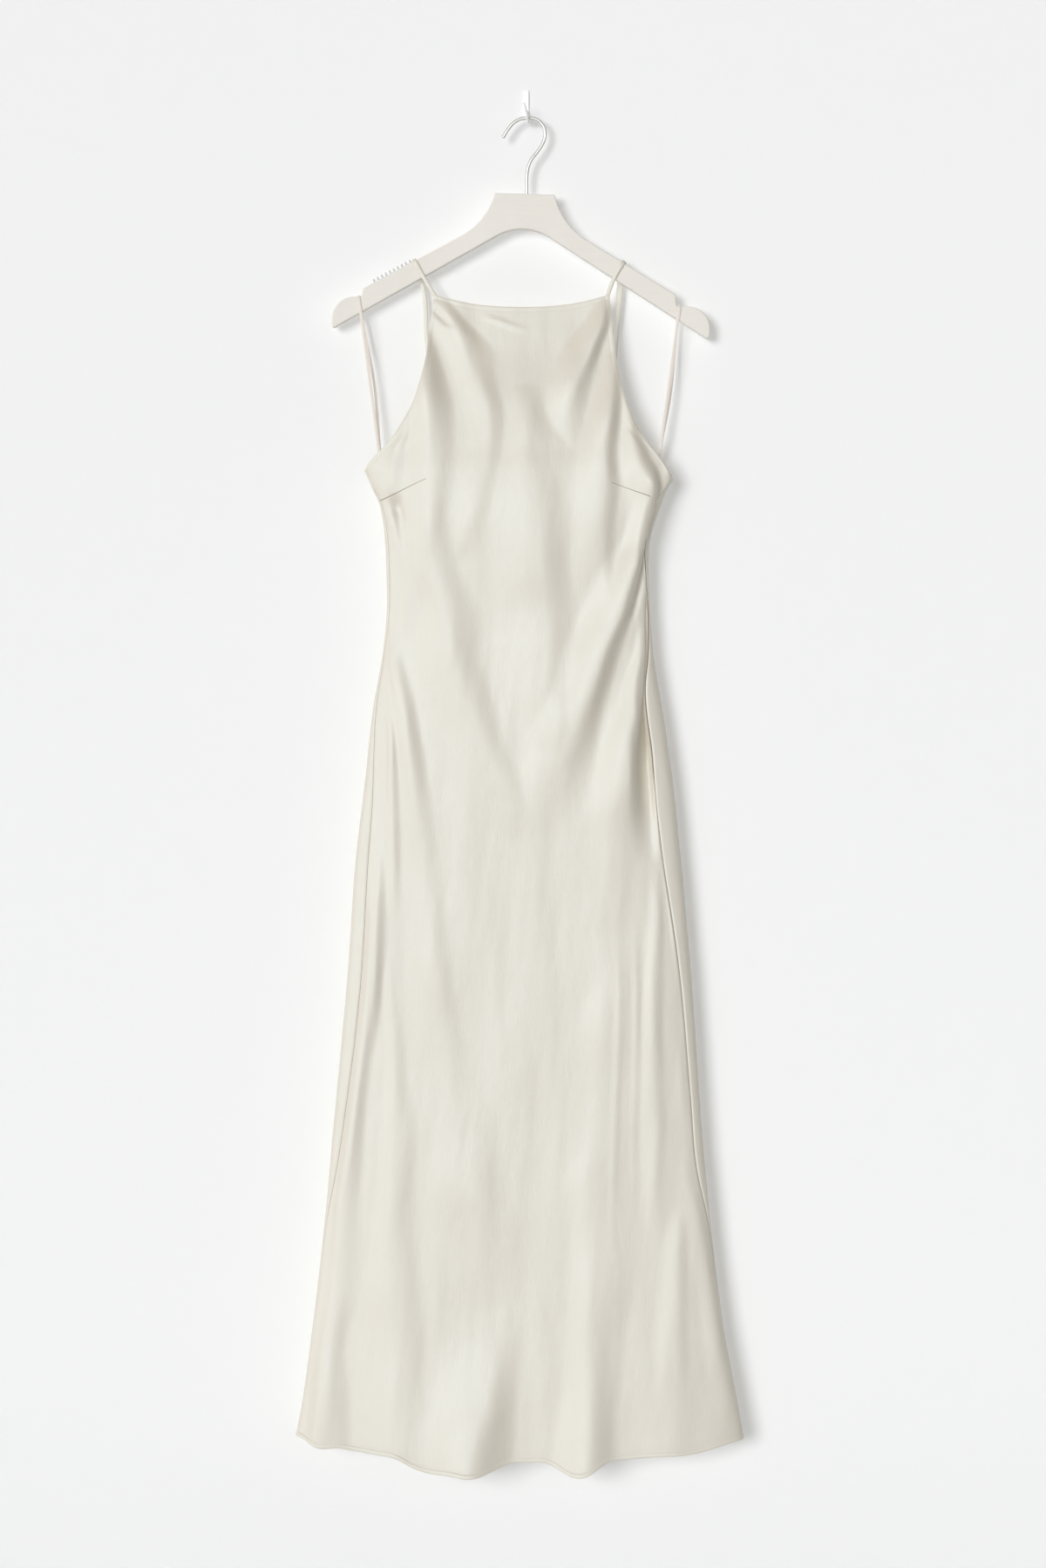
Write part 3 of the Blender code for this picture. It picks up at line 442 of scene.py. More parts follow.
Corner = namedtuple("Corner", "x drop radius")
NECK_CORNER = Corner(34.5, 0, 1.8)
SHOULDER_CORNER = Corner(44.2, 34.7, 82)
TIP_CORNER = Corner(218.5, 123.5, 26)
END_CORNER = Corner(217.5, 162, 3)
ARCH_CORNER = Corner(0, 30.7, 58)

# One tooth of the grip: its corners as shares of its run and height, with their radius
GRIP_TOOTH = table(
    "share height radius",
    (0.1, 0.0, 0.4), (0.2, 1.0, 0.4), (0.52, 1.0, 0.5), (0.68, 0.0, 0.4),
)
WIRE_ROUTE = table(
    "x drop",
    (0.25, 103), (0.2, 92), (1.6, 79), (5.2, 69.5), (11.6, 61), (18.3, 51), (21.4, 42), (20.6, 33),
    (15.6, 25.4), (8.5, 21.5), (1, 20.9), (-7, 22.2), (-14.4, 26), (-20.6, 33), (-26.5, 42.5),
)
PRONG_ROUTE = table(
    "x drop depth",
    (0.6, 11, 1.8), (0.7, 11.6, 3.6), (1.2, 17.5, 7), (1.7, 22.8, 10.8), (2, 24.9, 15.5),
    (1.8, 24.6, 20), (0.8, 21, 24.3), (-0.8, 14, 26.2), (-3, 6.5, 27),
)

# Straps: x at the neckline, along the arm from the hanger's middle, under the arm, halfway down
# and at the back's top edge, and the width behind the hanger
STRAPS = table(
    "name side neck_x arm_x under_x middle_x back_x behind",
    ("strap_left", -1, -100, 124.5, -120, -115, -98, 5.4),
    ("strap_right", 1, 90, 115.5, 108, 102.5, 91, 7.4),
)

# Loops: the notch's distance from the middle, x at the side seam, and how far the leg behind
# hangs to the right of the straight way halfway down
LOOPS = table(
    "name side notch end_x apart",
    ("hanger_loop_left", -1, NOTCH_LEFT, -165, 4.5),
    ("hanger_loop_right", 1, NOTCH_RIGHT, 148.5, 3.2),
)

# Dark lines of painted shade along the side seams: the drops each runs between, and how much wider it gets
# where an overlapping fold leaves a shadow gap
SEAM_LINES = table(
    "name side top bottom wider",
    ("seam_left", -1, 450, 1532, 0.0), ("seam_right", 1, 446, 1526, 1.1),
)

# Bust darts, drawn as dark lines of painted shade: x and drop, from the side seam to the bust
DARTS = {
    "dart_left": [(-167.5, 463), (-152, 456.5), (-134, 447.5), (-115, 439)],
    "dart_right": [(147, 461.5), (128, 454.5), (112, 448.5), (97.5, 443.5)],
}

# Suns: the way each shines, its width in degrees, and whether it casts shadows, shows in gloss
# and lights matt surfaces
LIGHTS = table(
    "name way angle strength colour shadow gloss glow",
    ("key", (0.42, 0.90, -0.12), 24, 1.60, (0.98, 0.99, 1.0), True, False, True),
    ("shine", (0.18, 0.97, -0.13), 24, 1.20, (1.0, 1.0, 1.0), False, True, False),
    ("side", (0.80, 0.60, -0.05), 40, 0.95, (0.96, 0.985, 1.0), False, True, True),
    ("fill", (-0.50, 0.86, -0.05), 40, 0.34, (0.96, 0.985, 1.0), False, True, True),
    ("rear", (0.45, -0.88, -0.2), 40, 0.8, (1.0, 1.0, 1.0), True, True, True),
)


# Curves

def world(x, drop, depth):
    """Point in metres of an x, a drop and a depth in millimetres."""
    return np.stack(np.broadcast_arrays(x, -np.asarray(depth), -np.asarray(drop)), axis=-1) * MM


def ease(value):
    """Soft step from 0 to 1: 3 t squared less 2 t cubed."""
    share = np.clip(value, 0.0, 1.0)
    return share * share * (3.0 - 2.0 * share)


def signed_power(value, power):
    """A value's size to a power, with the value's own sign."""
    return np.sign(value) * np.abs(value) ** power


def unit(vectors):
    """Vectors made one long."""
    return vectors / np.linalg.norm(vectors, axis=-1, keepdims=True)


def raised_cosine(away):
    """Bump of height 1 in the middle that reaches 0 at 1 on both sides."""
    return 0.5 + 0.5 * np.cos(np.pi * np.clip(away, -1, 1))


def curve_through(keys, values, wanted):
    """Smooth cubic through the values at the keys, read at the wanted places."""
    keys = np.asarray(keys, float)
    values = np.asarray(values, float)
    slopes = np.gradient(values, keys)
    wanted = np.clip(np.asarray(wanted, float), keys[0], keys[-1])
    cell = np.clip(np.searchsorted(keys, wanted) - 1, 0, len(keys) - 2)
    width = keys[cell + 1] - keys[cell]
    t = (wanted - keys[cell]) / width
    start = (1 + 2 * t) * (1 - t) ** 2 * values[cell] + t * (1 - t) ** 2 * width * slopes[cell]
    end = t * t * (3 - 2 * t) * values[cell + 1] + t * t * (t - 1) * width * slopes[cell + 1]
    return start + end


def column(rows, name, wanted):
    """One column of a table's rows, read smoothly at the wanted drops."""
    return curve_through([row.drop for row in rows], [getattr(row, name) for row in rows], wanted)


def route_curve(places, spacing):
    """Smooth route through places, with points about the spacing apart."""
    keys = np.array(places, float)
    steps = np.linalg.norm(np.diff(keys[:, :3], axis=0), axis=1)
    run = np.concatenate([[0.0], np.cumsum(steps)])
    stops = [0.0]
    for start, length in zip(run, steps):
        count = max(1, round(length / spacing))
        stops += [start + length * (k + 1) / count for k in range(count)]
    return np.array([curve_through(run, keys[:, k], stops) for k in range(keys.shape[1])]).T


def level_route(places, spacing):
    """Smooth route through places, for a section that isn't turned."""
    route = route_curve(places, spacing)
    return np.hstack([route, np.zeros((len(route), 1))])


# Hanging form of the dress

def ring_sizes(drop):
    """Middle, half width, side depth, front reach and back reach of the dress at a drop."""
    left = column(FORM, "left", drop)
    right = column(FORM, "right", drop)
    front = column(FORM, "front", drop)
    back = column(FORM, "back", drop)
    side = back + SIDE_SHARE * (front - back)
    return (left + right) / 2, (right - left) / 2, side, front - side, side - back


def ring_point(angle, drop):
    """Place and outward direction on a rounded ring: sine and cosine to the power 2 / roundness."""
    middle, half, side, front, back = ring_sizes(drop)
    across = signed_power(np.sin(angle), 2 / ROUNDNESS)
    out = signed_power(np.cos(angle), 2 / ROUNDNESS)
    reach = np.where(out >= 0, front, back)
    lean_x = signed_power(across, ROUNDNESS - 1) / half
    lean_depth = signed_power(out, ROUNDNESS - 1) / reach
    length = np.hypot(lean_x, lean_depth)
    return middle + half * across, side + reach * out, lean_x / length, lean_depth / length


def front_inset(drop, side):
    """How far inside the outline the front ends: at its armhole edge, then its side seam."""
    name = "left" if side < 0 else "right"
    corner = UNDERARM_DROP + (UNDERARM_TILT if side > 0 else 0.0)
    open_edge = side * (column(FORM, name, drop) - column(ARMHOLE, name, drop))
    insets = np.array([getattr(row, name) for row in SEAM_INSET], float)
    root = curve_through([row.drop for row in SEAM_INSET], np.sqrt(insets), drop)
    return np.where(drop <= corner + 0.01, open_edge, root * root)


def seam_angle(drop, side):
    """Ring angle of the front's end on one side."""
    half = ring_sizes(drop)[1]
    return side * np.arcsin((1 - front_inset(drop, side) / half) ** (ROUNDNESS / 2))


def row_tilt(row):
    """Share of the underarm tilt in a row: the right underarm hangs lower than the left."""
    below = 1 - ease((row - UNDERARM_DROP) / (WAIST_DROP - UNDERARM_DROP))
    above = ease((row - NECK_DROP) / (UNDERARM_DROP - NECK_DROP))
    return np.where(row > UNDERARM_DROP, below, above)


def hem_share(row):
    """Share of the hem's own line in a row."""
    return ease((row - HEM_DROP + HEM_BLEND) / HEM_BLEND)


def hem_offset(x, waves):
    """How far the hem lies below its even line: a flat-topped arch and a raised cosine a wave."""
    offset = HEM_MIDDLE - HEM_SIDE * np.abs(x / HEM_HALF) ** HEM_POWER
    for wave in waves:
        offset = offset + wave.depth * raised_cosine((x - wave.x) / wave.half)
    return offset


def hem_end(row, side):
    """Extra drop of a row at a side seam."""
    return hem_offset(column(FORM, "left" if side < 0 else "right", row), []) * hem_share(row)


def fold_height(folds, x, drop):
    """Outward height of all folds: a raised cosine each side of a crest that wanders as it runs down."""
    total = np.zeros_like(x)
    for crests in folds.values():
        away = x - column(crests, "x", drop)
        width = np.where(away < 0, column(crests, "left", drop), column(crests, "right", drop))
        total += column(crests, "height", drop) * raised_cosine(away / width)
    return total


def ripple_height(x, drop, start):
    """Faint slack of the cloth: long sines across it that drift sideways and fade in and out."""
    total = np.zeros_like(x)
    for ripple in RIPPLES:
        across = 2 * np.pi * ((x + ripple.turn * drop) / ripple.across) + ripple.start + start
        down = 2 * np.pi * drop / ripple.down + 2 * ripple.start + start
        total += ripple.height * np.sin(across) * (
            RIPPLE_STEADY + (1 - RIPPLE_STEADY) * np.sin(down))
    return total


def edge_roll(away, width, height):
    """Doubled edge: a welt as wide as stated, flat on top, and a shallow groove behind it."""
    away = np.minimum(away, width + ROLL_REACH)
    across = np.clip(2 * away / width - 1, -1, 1)
    groove = GROOVE_SHARE * height * np.exp(-((away - width) / GROOVE_WIDTH) ** 2)
    return height * np.sqrt(1 - across ** 4) - groove


def close_ends(length, count):
    """Stations along each length: close steps at both ends and even ones between."""
    length = np.asarray(length, float)[..., None]
    middle = EDGE_STEPS[-1] + np.linspace(0, 1, count + 1)[1:-1] * (length - 2 * EDGE_STEPS[-1])
    last = length - EDGE_STEPS[::-1]
    return np.concatenate([np.broadcast_to(EDGE_STEPS, last.shape), middle, last], axis=-1)


def ring_columns(start, end, row, count):
    """Ring angles and distances of the columns of every row, close together at both ends."""
    dense = start[:, None] + (end - start)[:, None] * np.linspace(0, 1, RING_STEPS + 1)
    x, depth, _, _ = ring_point(dense, row[:, None])
    steps = np.hypot(np.diff(x, axis=1), np.diff(depth, axis=1))
    run = np.concatenate([np.zeros((len(row), 1)), np.cumsum(steps, axis=1)], axis=1)
    stops = close_ends(run[:, -1], count)
    angle = np.array([np.interp(s, r, d) for s, r, d in zip(stops, run, dense)])
    return angle, stops, run[:, -1:]


def panel_rows(row, columns, waves, top_line, back=False):
    """Row, angle, drop and distances from both ends of every point of a panel.

    The front runs from the left seam to the right one, the back from the right seam round to
    the left one. The right seam hangs lower by the tilt, and the top line shapes the rows near it.
    """
    tilt = UNDERARM_TILT * row_tilt(row)
    left = seam_angle(row + hem_end(row, -1), -1)
    right = seam_angle(row + tilt + hem_end(row, 1), 1)
    start, end = (right, 2 * math.pi + left) if back else (left, right)
    angle, stops, length = ring_columns(start, end, row, columns)
    x = ring_point(angle, row[:, None])[0]
    share = 1 - stops / length if back else stops / length
    drop = row[:, None] + tilt[:, None] * share + top_line(row[:, None], x, share)
    drop += hem_offset(x, waves) * hem_share(row)[:, None]
    return row, angle, drop, stops, length - stops


def neck_line(row, x, share):
    """How far the neckline dips between its two corners."""
    dip = NECK_DIP * (1 - np.abs(2 * share - 1) ** NECK_POWER)
    return dip * (1 - ease((row - NECK_DROP) / NECK_BLEND))


def back_line(row, x, share):
    """How far the scooped top of the back rises or dips, as a negative or positive drop."""
    rise = curve_through([spot.x for spot in BACK_TOP], [spot.rise for spot in BACK_TOP], x)
    return -rise * (1 - ease((row - UNDERARM_DROP) / BACK_TOP_BLEND))


def front_rows():
    """The front's rows, from the neckline past the underarms to the hem."""
    bodice = close_ends(UNDERARM_DROP - NECK_DROP, BODICE_ROWS) + NECK_DROP
    skirt = close_ends(HEM_DROP - UNDERARM_DROP, SKIRT_ROWS) + UNDERARM_DROP
    return panel_rows(np.concatenate([bodice[:-1], skirt]), FRONT_COLUMNS, FRONT_HEM, neck_line)


def back_rows():
    """The back's rows, from its scooped top to the hem."""
    row = close_ends(HEM_DROP - UNDERARM_DROP, BACK_ROWS) + UNDERARM_DROP
    return panel_rows(row, BACK_COLUMNS, BACK_HEM, back_line, back=True)


def cloth_grids(rows, folds, close_folds, top_edge, start):
    """Outer and inner points of a sewn panel.

    The outer point is the ring's point pushed out by the folds, the ripples and the doubled
    edges, less a dip along the seams. The inner point lies one cloth thickness behind it, and
    further where an edge is doubled.
    """
    row, angle, drop, from_start, from_end = rows
    x, depth, lean_x, lean_depth = ring_point(angle, drop)
    edge = np.minimum(from_start, from_end)
    sewn = ease((row - SEAM_FADE_DROP) / SEAM_FADE_RUN)[:, None]
    fade = np.maximum(ease(edge / SEAM_FADE), 1 - sewn)
    height = (fold_height(folds, x, drop) + ripple_height(x, drop, start)) * fade
    height += fold_height(close_folds, x, drop) * ease(edge / CLOSE_FADE)
    on_seam = row[:, None] > UNDERARM_DROP - 1
    height -= np.where(on_seam, SEAM_DIP * np.exp(-(edge / SEAM_DIP_WIDTH) ** 2), 0)
    roll = edge_roll(HEM_DROP - row[:, None], ROLLED, ROLLED_HEIGHT)
    roll = roll + edge_roll(row[:, None] - top_edge, TURNED, TURNED_HEIGHT)
    roll = roll + np.where(on_seam, 0, edge_roll(edge, TURNED, TURNED_HEIGHT))
    height += np.maximum(roll, -TURNED_HEIGHT) * ROLL_SHARE
    outer = world(x + lean_x * height, drop, depth + lean_depth * height)
    lean = np.stack([lean_x, -lean_depth, np.zeros_like(x)], axis=-1)
    normal = unit(np.cross(np.gradient(outer, axis=0), np.gradient(outer, axis=1)))
    keep = np.where(on_seam, ease(edge / SEAM_TURN), 1)[..., None]
    normal = unit(normal * keep + lean * (1 - keep))
    inner = outer - normal * (THIN + np.maximum(roll, 0))[..., None] * MM
    distance = np.stack([from_start - from_start[:, -1:] / 2, -drop], axis=-1) * MM
    return outer, inner, distance


# Meshes

def piece_mesh(name, points, faces, material, layer=None, sharp=50):
    """Mesh piece at the origin, shaded smooth, with its own distances in metres as its map."""
    mesh = bpy.data.meshes.new(name)
    mesh.from_pydata(points.reshape(-1, 3), [], faces)
    mesh.update()
    if layer is not None:
        corner = np.zeros(len(mesh.loops), np.int32)
        mesh.loops.foreach_get("vertex_index", corner)
        cloth = mesh.uv_layers.new(name="run")
        cloth.data.foreach_set("uv", layer.reshape(-1, 2)[corner].astype(np.float32).ravel())
    mesh.shade_smooth()
    mesh.set_sharp_from_angle(angle=math.radians(sharp))
    mesh.materials.append(material)
    return add_object(name, mesh)


def add_object(name, data):
    """New object of the scene, at the origin."""
    item = bpy.data.objects.new(name, data)
    bpy.context.scene.collection.objects.link(item)
    return item


def grid_quads(index):
    """Quads of a grid of point numbers, row by row."""
    quads = np.stack([index[:-1, :-1], index[1:, :-1], index[1:, 1:], index[:-1, 1:]], axis=-1)
    return quads.reshape(-1, 4)


def ring_faces(rings, sides):
    """Faces that join rings of points one to the next, with a face over each end."""
    index = np.arange(rings * sides).reshape(rings, sides)
    looped = np.concatenate([index, index[:, :1]], axis=1)
    return grid_quads(looped).tolist() + [index[0].tolist(), index[-1][::-1].tolist()]


def thin_shell(name, outer, inner, distance, material):
    """Closed shell: an outer grid, an inner grid turned over, and a rim all round between them."""
    rows, columns = outer.shape[:2]
    count = rows * columns
    index = np.arange(count).reshape(rows, columns)
    rim = np.concatenate([index[0, :-1], index[:-1, -1], index[-1, :0:-1], index[:0:-1, 0]])
    after = np.roll(rim, -1)
    faces = np.concatenate([
        grid_quads(index),
        count + grid_quads(index)[:, ::-1],
        np.stack([rim, after, count + after, count + rim], axis=-1),
    ])
    points = np.concatenate([outer.reshape(-1, 3), inner.reshape(-1, 3)])
    layer = np.concatenate([distance.reshape(-1, 2)] * 2)
    return piece_mesh(name, points, faces.tolist(), material, layer)


def route_frame(route):
    """Centre line in metres and its two cross directions, from x, drop, depth and slope."""
    centre = world(route[:, 0], route[:, 1], route[:, 2])
    along = unit(np.gradient(centre, axis=0))
    slope = np.radians(route[:, 3])
    across = np.stack([np.cos(slope), np.zeros_like(slope), np.sin(slope)], axis=1)
    across = unit(across - along * np.sum(across * along, axis=1, keepdims=True))
    return centre, along, across, np.cross(along, across)


def swept(name, route, wide, deep, material, power=2.0, tip=0.0):
    """Rod or tape carried along a route: its section is a rounded ring, its ends close in a dome."""
    route = np.array(route, float)
    centre, along, across, through = route_frame(route)
    turn = 2 * np.pi * (np.arange(ROD_SIDES) + 0.5) / ROD_SIDES
    widths = np.broadcast_to(np.asarray(wide, float), len(route))[:, None]
    ring_wide = signed_power(np.cos(turn), 2 / power) * widths / 2 * MM
    ring_deep = signed_power(np.sin(turn), 2 / power) * deep / 2 * MM
    ring = across[:, None] * ring_wide[..., None] + through[:, None] * ring_deep[:, None]
    swing = np.radians(DOME_SWING)[:, None, None]
    head = centre[0] + ring[0] * np.cos(swing) - along[0] * tip * MM * np.sin(swing)
    swing = swing[::-1]
    foot = centre[-1] + ring[-1] * np.cos(swing) + along[-1] * tip * MM * np.sin(swing)
    points = np.concatenate([head, centre[:, None] + ring, foot])
    steps = np.linalg.norm(np.diff(points.mean(axis=1), axis=0), axis=1)
    run = np.concatenate([[0.0], np.cumsum(steps)])
    wide_rows = np.pad(ring_wide, ((len(head), len(foot)), (0, 0)), mode="edge")
    layer = np.stack(np.broadcast_arrays(wide_rows, -run[:, None]), axis=-1)
    faces = [face[::-1] for face in ring_faces(len(points), ROD_SIDES)]
    return piece_mesh(name, points, faces, material, layer)


# Hanger

def arm_top(x):
    """Drop of the top edge of an arm at a distance from the middle, in the hanger's frame."""
    return SHOULDER_CORNER.drop + ARM_SLOPE * (x - SHOULDER_CORNER.x)


def from_hanger(x, drop):
    """World x and drop of a place in the hanger's frame, with the hanger's tilt."""
    c, s = math.cos(HANGER_TILT), math.sin(HANGER_TILT)
    return HANGER_X + x * c - drop * s, HANGER_DROP + x * s + drop * c


def as_it_is(x, drop):
    """World x and drop of a place that isn't tilted."""
    return x, drop


def rounded_outline(corners, insets):
    """Outlines one inside the other: at each corner an arc about one centre, its radius less the inset."""
    spots = np.array([[corner.x, corner.drop] for corner in corners], float)
    area = np.sum(spots[:, 0] * np.roll(spots[:, 1], -1) - np.roll(spots[:, 0], -1) * spots[:, 1])
    insets = np.asarray(insets, float)[:, None]
    arcs = []
    for here, before, after, corner in zip(spots, np.roll(spots, 1, 0), np.roll(spots, -1, 0), corners):
        back, ahead = unit(before - here), unit(after - here)
        half = math.acos(np.clip(back @ ahead, -1, 1)) / 2
        centre = here + unit(back + ahead) * corner.radius / math.sin(half)
        start = here + back * corner.radius / math.tan(half) - centre
        cross = back[0] * ahead[1] - back[1] * ahead[0]
        convex = cross * area < 0
        turn = math.pi - 2 * half
        steps = max(ARC_FEWEST, math.ceil(turn * corner.radius / ARC_STEP))
        swing = -math.copysign(1, cross) * np.linspace(0, turn, steps + 1)
        radius = 1 + (-insets if convex else insets) / corner.radius
        spun_x = start[0] * np.cos(swing) - start[1] * np.sin(swing)
        spun_drop = start[0] * np.sin(swing) + start[1] * np.cos(swing)
        arcs.append(np.stack([centre[0] + radius * spun_x, centre[1] + radius * spun_drop], axis=-1))
    return np.concatenate(arcs, axis=1), area


def rounded_slab(name, corners, place, back, thick, edge, material):
    """Flat slab with rounded edges: its outline carried through quarter circles front and back."""
    swing = np.radians(np.linspace(0, 90, EDGE_SWINGS))
    round_in = edge * (1 - np.sin(swing))
    round_out = edge * (1 - np.cos(swing))
    insets = np.concatenate([[edge + FACE_INSET], round_in, round_in[::-1], [edge + FACE_INSET]])
    depths = np.concatenate([[back + thick], back + thick - round_out, back + round_out[::-1], [back]])
    rings, area = rounded_outline(corners, insets)
    x, drop = place(rings[..., 0], rings[..., 1])
    points = world(x, drop, depths[:, None])
    faces = ring_faces(points.shape[0], points.shape[1])
    if area > 0:
        faces = [face[::-1] for face in faces]
    return piece_mesh(name, points, faces, material, sharp=70)


def hanger_corners(side, notch):
    """Corners of one half of the hanger, from its neck round to under its arm."""
    step = Corner(notch + NOTCH_TOP, arm_top(notch + NOTCH_TOP), NOTCH_TOP_RADIUS)
    foot = Corner(notch + NOTCH_FOOT, NOTCH_FLOOR, NOTCH_FOOT_RADIUS)
    half = [NECK_CORNER, SHOULDER_CORNER, step, foot, TIP_CORNER, END_CORNER]
    return [corner._replace(x=side * corner.x) for corner in half]


def grip_corners():
    """Toothed strip along the top of the left arm: small even teeth on the arm's slope."""
    slope = math.atan(ARM_SLOPE)
    run = (GRIP_END - GRIP_START) / GRIP_TEETH
    corners = [Corner(-x, arm_top(x) + GRIP_BASE, GRIP_RADIUS) for x in (GRIP_END, GRIP_START)]
    for k in range(GRIP_TEETH):
        for spot in GRIP_TOOTH:
            x = GRIP_START + run * (k + spot.share)
            lift = GRIP_HEIGHT * spot.height
            top = arm_top(x) - lift * math.cos(slope) + GRIP_SUNK
            corners.append(Corner(-x - lift * math.sin(slope), top, spot.radius))
    return corners


# Routes of straps, loops and wire

def surface_depth(x, drop, side, folds, inset):
    """Depth of a place inside a panel, at an inset from its outer face; side 1 is the front."""
    middle, half, mid_depth, front, back = ring_sizes(drop)
    across = np.minimum(np.abs((x - middle) / half), 1.0)
    reach = front if side > 0 else back
    out = (1 - across ** ROUNDNESS) ** (1 / ROUNDNESS)
    lean = np.hypot(across ** (ROUNDNESS - 1) / half, out ** (ROUNDNESS - 1) / reach)
    facing = out ** (ROUNDNESS - 1) / reach / lean
    height = fold_height(folds, np.asarray(x, float), np.asarray(drop, float))
    return mid_depth + side * (reach * out + height * facing - inset / facing)


def over_edge(x, drop, slope, clearance):
    """Route over the hanger from front to back at a place on its top edge."""
    radius = HANGER_EDGE + clearance + OVER_EASE
    front = HANGER_BACK + HANGER_THICK - HANGER_EDGE
    back = HANGER_BACK + HANGER_EDGE
    up_x, up_drop = -math.sin(slope), -math.cos(slope)
    rows = []
    for depth, start, end in ((front, 0, 90), (back, 90, 180)):
        for swing in np.radians(np.linspace(start, end, OVER_SWINGS)):
            lift = radius * math.sin(swing) - HANGER_EDGE
            out = radius * math.cos(swing)
            rows.append((x + up_x * lift, drop + up_drop * lift, depth + out, math.degrees(slope)))
    return rows


def strap_route(strap):
    """From inside the neckline over the arm and down to the inside of the back."""
    slope = -strap.side * (math.atan(ARM_SLOPE) + strap.side * HANGER_TILT)
    inset = WALL + CLEAR + SEWN_EASE + STRAP_THICK / 2
    cross_x, cross_drop = from_hanger(strap.side * strap.arm_x, arm_top(strap.arm_x))
    over = over_edge(cross_x, cross_drop, slope, CLEAR + STRAP_THICK / 2)
    run = math.tan(slope)
    turn = math.degrees(slope)
    before, behind = over[0][2], over[-1][2]
    neck_depth = surface_depth(strap.neck_x, NECK_DROP, 1, {}, inset)
    front_leg = [
        (strap.neck_x, NECK_DROP + TUCK, neck_depth, turn),
        (cross_x + run * STRAP_FRONT_OFF, cross_drop + STRAP_FRONT_OFF, before, turn),
    ]
    back_leg = [
        (cross_x + run * STRAP_BACK_LEAN, cross_drop + STRAP_BACK_OFF, behind, turn * STRAP_BACK_TURN),
        (strap.under_x, cross_drop + STRAP_UNDER, behind, turn * STRAP_UNDER_TURN),
        (strap.middle_x, *STRAP_MIDDLE, 0),
        ((strap.middle_x + strap.back_x) / 2, *STRAP_LOW, 0),
    ]
    ends = [
        (strap.back_x, drop, surface_depth(strap.back_x, drop, -1, BACK_FOLDS, inset), 0)
        for drop in (STRAP_BACK_DROP - STRAP_STRAIGHT, STRAP_BACK_DROP + TUCK)
    ]
    return route_curve(front_leg + over + back_leg + ends, STRAP_SPACING)


def loop_route(loop):
    """From the side seam up the front of the arm, over its notch and back down behind."""
    inset = WALL + CLEAR + SEWN_EASE + LOOP_THICK / 2
    top_x, top_drop = from_hanger(loop.side * (loop.notch + LOOP_STEP), NOTCH_FLOOR)
    over = over_edge(top_x, top_drop, -HANGER_TILT, CLEAR + LOOP_THICK / 2)
    before, behind = over[0][2], over[-1][2]
    back_depth = surface_depth(loop.end_x, LOOP_END_DROP, -1, BACK_FOLDS, inset)
    sideways = loop.end_x - top_x
    off_x, off_drop = top_x + sideways * LOOP_OFF_SHARE, top_drop + LOOP_OFF
    middle_x = top_x + sideways * LOOP_MIDDLE_SHARE + loop.apart
    low_x = top_x + sideways * LOOP_LOW_SHARE
    rows = [
        (loop.end_x, LOOP_END_DROP, back_depth + LOOP_THICK + LOOP_LAYERS_APART, 0),
        (off_x, off_drop, before, 0),
        *over,
        (off_x, off_drop, behind, 0),
        (middle_x, (top_drop + LOOP_END_DROP) / 2, (behind + back_depth) / 2, 0),
        (low_x, LOOP_LOW_DROP, back_depth - LOOP_LOW_EASE, 0),
        (loop.end_x, LOOP_END_DROP, back_depth, 0),
    ]
    return route_curve(rows, LOOP_SPACING)


def wire_foot(drop):
    """Place on the wire's straight foot at a drop in the hanger's frame."""
    x, world_drop = from_hanger(WIRE_FOOT_X, drop)
    return x, world_drop, WIRE_DEPTH


# Materials

def add_node(tree, kind, inputs=None, **settings):
    """One node; each input is a number, a colour or another node's output."""
    node = tree.nodes.new("ShaderNode" + kind)
    for name, value in settings.items():
        setattr(node, name, value)
    for key, value in (inputs or {}).items():
        if isinstance(value, bpy.types.NodeSocket):
            tree.links.new(value, node.inputs[key])
        else:
            node.inputs[key].default_value = value
    return node


def start_material(name, colour, roughness):
    """Principled material, its tree and its shader."""
    material = bpy.data.materials.new(name)
    material.use_nodes = True
    shader = material.node_tree.nodes["Principled BSDF"]
    set_sockets(shader, Base_Color=(*colour, 1.0), Roughness=roughness)
    return material, material.node_tree, shader


def set_sockets(shader, **values):
    """Plain values on the shader's sockets, by their names with underscores."""
    for name, value in values.items():
        shader.inputs[name.replace("_", " ")].default_value = value


def own_run(tree):
    """A piece's own map: distances across and along it, in metres."""
    return add_node(tree, "UVMap", uv_map="run").outputs["UV"]


def speckle(tree, place, scale, detail=2.0, turn=0.0):
    """Noise stretched by a scale in each direction, as a value from 0 to 1."""
    mapping = add_node(tree, "Mapping", {"Vector": place, "Scale": scale, "Rotation": (0, 0, turn)})
    inputs = {"Vector": mapping.outputs["Vector"], "Scale": 1.0, "Detail": detail, "Roughness": 0.5}
    return add_node(tree, "TexNoise", inputs).outputs["Fac"]


def tinted(tree, shader, colour, value, low, high):
    """Base colour that swings between a darker and a lighter tone of the colour with a value."""
    ramp = add_node(tree, "ValToRGB", {"Fac": value})
    for stop, away, gains in zip(ramp.color_ramp.elements, (-TONE_SPREAD, TONE_SPREAD), (low, high)):
        stop.position = 0.5 + away
        stop.color = (*[min(part * gain, 1) for part, gain in zip(colour, gains)], 1)
    tree.links.new(ramp.outputs["Color"], shader.inputs["Base Color"])


def rough_range(tree, shader, value, low, high):
    """Roughness that follows a value."""
    inputs = {"Value": value, "From Min": 0.25, "From Max": 0.75, "To Min": low, "To Max": high}
    tree.links.new(add_node(tree, "MapRange", inputs).outputs["Result"], shader.inputs["Roughness"])


